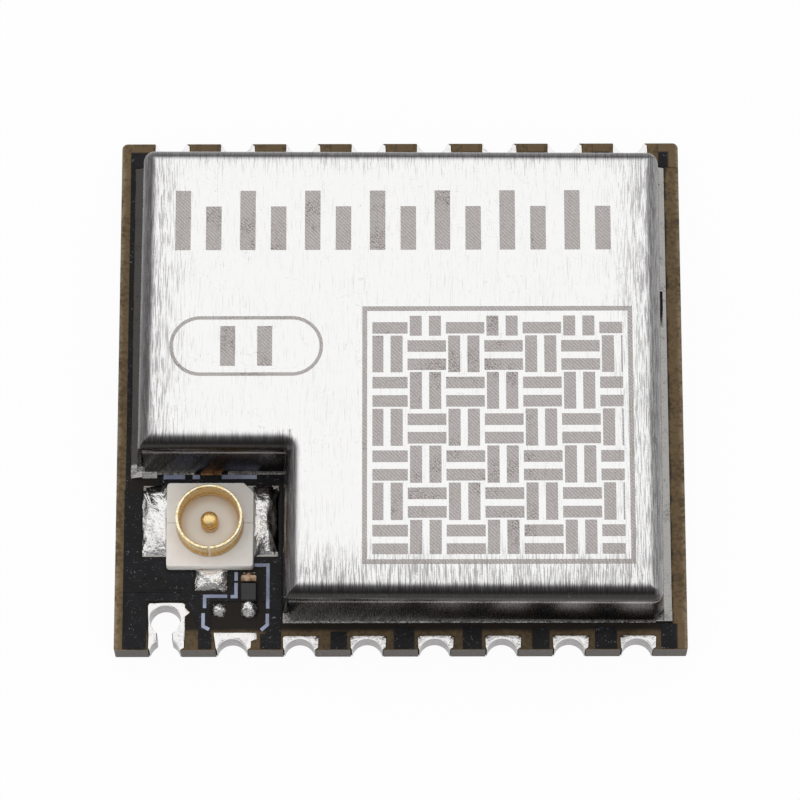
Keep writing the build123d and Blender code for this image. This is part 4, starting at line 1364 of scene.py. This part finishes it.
@dataclass
class Socket:
    """Antenna socket: ivory body, gold ring and pin, and the solder that holds it."""

    x: float = middle_of("socket_body")[0]
    y: float = middle_of("socket_body")[1]
    base: float = 0.8
    size: float = 2.6
    height: float = 0.4
    key: float = 0.3
    corner: float = 0.1
    ring: float = 1.0
    ring_wall: float = 0.11
    ring_height: float = 1.25
    slit: float = 0.08
    pin: float = 0.27
    pin_height: float = 1.05
    foot: Triple = (0.78, 1.59, 1.5)
    foot_shift: float = 0.21
    sheet: float = 0.1
    solder_near: float = 1.18
    solder_far: float = 2.05
    solder_width: float = 2.2
    solder_height: float = 0.24
    solder_fill: float = 0.95
    tail: Pair = (0.54, 1.52)
    signal: Triple = (0.93, 0.64, 0.225)
    signal_fill: Pair = (0.88, 0.84)
    signal_shift: float = 0.035
    signal_tuck: float = 0.01

    def body(self) -> Skin:
        """Make the body: its outline with one key corner, carried up and over a rounded edge.

        Returns:
            The closed skin.
        """
        h = self.size / 2
        corners = [(-h, -h), (h, -h), (h, h - self.key), (h - self.key, h), (-h, h)]
        corners = [(self.x + cx, self.y + cy) for cx, cy in corners]
        radii = [self.corner, self.corner, 0.03, 0.03, self.corner]
        return stacked(Outline(corners, radii), rolled_edge(self.height, 0.06), self.base)

    def shell_ring(self) -> Skin:
        """Turn the ring: a wall with a snap groove, a rolled rim and a slit at the front.

        Returns:
            The closed skin.
        """
        out, inside = self.ring, self.ring - self.ring_wall
        top = self.ring_height
        loop = [
            (out, 0.1), (out, 0.5), (out - 0.05, 0.58), (out - 0.05, 0.74), (out, 0.82),
            (out, top - 0.02), (out - 0.02, top), (inside + 0.03, top), (inside, top - 0.05),
            (inside, 0.8), (inside - 0.05, 0.74), (inside - 0.05, 0.58), (inside, 0.5),
            (inside, 0.1),
        ]
        return turned(
            soften(loop, 2, True), self.x, self.y, self.base, 160, self.slit / self.ring
        )

    def post(self) -> Skin:
        """Turn the pin: a collar, a neck and a ball-shaped head.

        Returns:
            The closed skin.
        """
        r, top = self.pin, self.pin_height
        line = [
            (r, self.height - 0.02), (r, 0.6), (r - 0.01, 0.66), (r - 0.045, 0.7),
            (r - 0.03, 0.74), (r - 0.005, 0.8), (r - 0.005, 0.88), (r - 0.06, 0.98),
            (r - 0.16, top - 0.01), (0.01, top),
        ]
        return turned(soften(line, 2), self.x, self.y, self.base, 72)

    def plate(
        self, left: float, right: float, front: float, back: float, edge: float = 0.03
    ) -> Skin:
        """Make a flat contact: a rounded outline carried up and over a rounded edge.

        Args:
            left: its left side.
            right: its right side.
            front: its front.
            back: its back.
            edge: radius of its corners and upper edge.

        Returns:
            The closed skin.
        """
        outline = Outline(rectangle(left, right, front, back), [edge] * 4, 4)
        top = self.sheet
        rows = [(0.0, 0.0), (0.0, top - edge), (edge / 2, top - edge / 4), (edge, top)]
        return stacked(outline, np.array(rows), self.base)

    def feet(self) -> list[Skin]:
        """Make the two ground feet.

        Returns:
            The feet's skins.
        """
        near, far, width = self.foot
        middle = self.y + self.foot_shift
        return [
            self.plate(
                *sorted((self.x + s * near, self.x + s * far)), middle - width / 2,
                middle + width / 2,
            )
            for s in (-1, 1)
        ]

    def ground_solder(self) -> list[Skin]:
        """Heap the ground solder, highest beside the body.

        Returns:
            The heaps' skins.
        """
        middle = (self.solder_near + self.solder_far) / 2
        reach = (self.solder_far - self.solder_near, self.solder_width)
        half = tuple(size / 2 / self.solder_fill for size in reach)
        return [
            mound(
                (self.x + s * middle, self.y + self.foot_shift), half, self.solder_height,
                self.base, square=0.3, fall=3.6, lean=(-0.45 * s, 0.1), lump=0.2, seed=4 + s,
            )
            for s in (-1, 1)
        ]

    def build(self) -> None:
        """Build the socket's pieces."""
        lay("socket_moulding", [self.body()], Finish.INSULATOR, ["socket_body"], crease=30.0)
        lay("socket_ring_and_feet", [self.shell_ring(), *self.feet()], Finish.GOLD,
            ["socket_shell"], crease=50.0)
        tail = self.plate(
            self.x - self.tail[0] / 2, self.x + self.tail[0] / 2, self.y - self.tail[1], self.y
        )
        lay("socket_post_and_tail", [self.post(), tail], Finish.GOLD, ["socket_pin"], crease=50.0)
        lay("ground_solder_mounds", self.ground_solder(), Finish.SOLDER, ["socket_ground_solder"])
        length, width, height = self.signal
        spot = (
            self.x + self.signal_shift, self.y - self.size / 2 - width / 2 + self.signal_tuck
        )
        half = (length / 2 / self.signal_fill[0], width / 2 / self.signal_fill[1])
        heap = mound(
            spot, half, height, self.base, square=0.27, fall=3.0, lean=(0.05, 0.35), lump=0.16,
            seed=11,
        )
        lay("signal_solder_mound", [heap], Finish.SOLDER, ["socket_signal_solder"])
        dress("socket_lands", Finish.SEAM)


@dataclass
class Selector:
    """Antenna selection site: one chip, solder on three lands."""

    x: float = middle_of("selector_body")[0]
    y: float = middle_of("selector_body")[1]
    base: float = 0.8
    pitch: float = 1.0
    row: float = 0.9
    length: float = 1.05
    width: float = 0.5
    height: float = 0.35
    end: float = 0.24
    end_wall: float = 0.02
    front_end_share: float = 0.55
    corner: float = 0.03
    end_corner: float = 0.07
    edge: float = 0.09
    dome: Triple = (0.25, 0.25, 0.24)
    end_dome: Triple = (0.3074, 0.3248, 0.375)
    fillet: Triple = (0.24, 0.15, 0.24)

    def block(self, front: float, back: float, width: float, height: float, turn: float) -> Skin:
        """Make a block about the chip's axis, with rounded corners and rolled edges.

        Args:
            front: its front.
            back: its back.
            width: its width.
            height: its height.
            turn: radius of its corners.

        Returns:
            The closed skin.
        """
        corners = rectangle(self.x - width / 2, self.x + width / 2, front, back)
        outline = Outline(corners, [turn] * 4, 6)
        return stacked(outline, rolled_edge(height, self.edge), self.base)

    def build(self) -> None:
        """Build the site's pieces."""
        front, back = self.y - self.length / 2, self.y + self.length / 2
        wall = self.end_wall
        core = self.block(
            front + self.end, back - self.end, self.width - wall, self.height - wall, self.corner
        )
        lay("selector_chip", [core], Finish.BLACK, ["selector_body"], crease=60.0)
        low = self.height * self.front_end_share
        ends = [
            self.block(back - self.end, back, self.width, self.height, self.end_corner),
            self.block(front, front + self.end, self.width - 2 * wall, low, self.end_corner),
        ]
        lay("selector_end_caps", ends, Finish.BROWNED, ["selector_terminals"], crease=60.0)
        land_y = self.y - self.pitch / 2
        heaps = [
            mound((self.x - self.row, land_y), self.dome[:2], self.dome[2], self.base, fall=2.2,
                  lump=0.05, seed=3),
            mound((self.x, land_y + 0.03), self.end_dome[:2], self.end_dome[2], self.base,
                  square=0.8, fall=2.6, lump=0.12, seed=8),
        ]
        lay("selector_solder_domes", heaps, Finish.SOLDER, ["selector_solder"])
        wet = mound((self.x, back + 0.02), self.fillet[:2], self.fillet[2], self.base, fall=2.0,
                    lump=0.05, seed=5)
        lay("selector_back_fillet", [wet], Finish.BROWNED, [])
        dress("selector_lands", Finish.SEAM)


@dataclass
class InsideCan:
    """Parts held inside the can."""

    finishes: dict[str, Finish] = field(default_factory=lambda: {
        "transceiver": Finish.BLACK, "transceiver_pads": Finish.TIN,
        "oscillator_base": Finish.WHITE, "oscillator_lid": Finish.SEAM,
        "antenna_switch": Finish.BLACK, "switch_leads": Finish.TIN,
        "power_inductor": Finish.FERRITE, "power_inductor_terminals": Finish.TIN,
        "capacitor_bodies": Finish.CHIP, "capacitor_terminals": Finish.TIN,
        "resistor_bodies": Finish.BLACK, "resistor_terminals": Finish.TIN,
        "filter_coils": Finish.WHITE, "filter_coil_terminals": Finish.TIN,
        "component_lands": Finish.TRACE, "component_solder": Finish.SOLDER,
    })

    def build(self) -> None:
        """Dress the inner nodes."""
        for node, choice in self.finishes.items():
            dress(node, choice)


# Studio


@dataclass
class Studio:
    """Pale floor, soft light and the camera at the photograph's angle."""

    eye: Triple = (0.264, -43.837, 136.968)
    tilt: float = 17.755
    roll: float = -0.077
    yaw: float = 0.116
    focal_pixels: float = 4750.46
    picture: int = 800
    film: float = 36.0
    floor_size: float = 3000.0
    floor_drop: float = 0.02
    floor_glow: float = 0.95
    metal_sees: Pair = (0.24, 0.8)
    daylight: float = 0.85
    lamp_at: Triple = (-50.0, 120.0, 220.0)
    lamp_size: float = 250.0
    lamp_watts: float = 0.055

    def camera(self) -> None:
        """Make the camera."""
        made = bpy.data.cameras.new("camera")
        made.sensor_width = self.film
        made.lens = self.focal_pixels * self.film / self.picture
        made.clip_start = 0.001
        made.clip_end = 20.0
        camera = put("camera", made)
        turn = (
            Matrix.Rotation(math.radians(self.yaw), 4, "Y")
            @ Matrix.Rotation(math.radians(self.tilt), 4, "X")
            @ Matrix.Rotation(math.radians(self.roll), 4, "Z")
        )
        camera.matrix_world = Matrix.Translation(Vector(self.eye) * METRES) @ turn
        bpy.context.scene.camera = camera

    def floor(self) -> None:
        """Make the floor; camera and metal see it white, and it keeps the object's shadow."""
        half = self.floor_size / 2 * METRES
        mesh = bpy.data.meshes.new("floor")
        mesh.from_pydata(
            [(x, y, 0.0) for x, y in rectangle(-half, half, -half, half)], [], [(0, 1, 2, 3)]
        )
        floor = put("floor", mesh)
        floor.location.z = -self.floor_drop * METRES
        g = Graph("floor")
        paper = g.wire("ShaderNodeBsdfDiffuse", {}, {"Color": (0.9, 0.9, 0.9)})
        glow = g.wire("ShaderNodeEmission", {}, {"Color": (1, 1, 1), "Strength": 1.0})
        path = g.node("ShaderNodeLightPath", {}, {})
        rays = ("Is Camera Ray", "Is Glossy Ray", "Is Transmission Ray")
        seen, glossy, through = (Wire(g, path.outputs[ray]) for ray in rays)
        share = seen.most(glossy).most(through) * self.floor_glow
        both = g.wire("ShaderNodeMixShader", {}, {0: share, 1: paper, 2: glow})
        g.node("ShaderNodeOutputMaterial", {}, {"Surface": both})
        mesh.materials.append(g.material)

    def world(self) -> None:
        """Light everything softly; metal sees a darker room towards the front and the horizon.

        Its brightness grows from front to back, a little with height, and fades at the horizon.
        """
        world = bpy.data.worlds.new("studio")
        bpy.context.scene.world = world
        g = Graph("studio", world)
        _, y, z = g.parts(g.coordinate("Generated"))
        bright = (y + z * 0.7).ramp(-0.3, 0.4) * z.ramp(0.06, 0.2)
        path = g.node("ShaderNodeLightPath", {}, {})
        glossy = Wire(g, path.outputs["Is Glossy Ray"])
        seen = Wire(g, path.outputs["Is Camera Ray"])
        dark, gain = self.metal_sees
        level = glossy * (dark + bright * gain) + (1 - glossy) * self.daylight
        level = seen + (1 - seen) * level
        out = g.wire("ShaderNodeBackground", {}, {"Color": (1, 1, 1), "Strength": level})
        g.node("ShaderNodeOutputWorld", {}, {"Surface": out})

    def lamp(self) -> None:
        """Hang one large soft lamp over the back, for gentle shape."""
        made = bpy.data.lights.new("soft_box", "AREA")
        made.shape = "SQUARE"
        made.size = self.lamp_size * METRES
        made.energy = self.lamp_watts
        lamp = put("soft_box", made)
        place = Vector(self.lamp_at) * METRES
        lamp.location = place
        lamp.rotation_euler = (-place).to_track_quat("-Z", "Y").to_euler()
        lamp.visible_glossy = False

    def build(self) -> None:
        """Make the whole studio."""
        self.camera()
        self.floor()
        self.world()
        self.lamp()
        bpy.context.scene.view_settings.view_transform = "Standard"


def main() -> None:
    """Build the sub-assemblies in order."""
    logging.basicConfig(level=logging.INFO)
    for assembly in (Board(), Shield(), Socket(), Selector(), InsideCan(), Studio()):
        assembly.build()
        LOG.info("built %s", type(assembly).__name__)


if __name__ == "__main__":
    main()
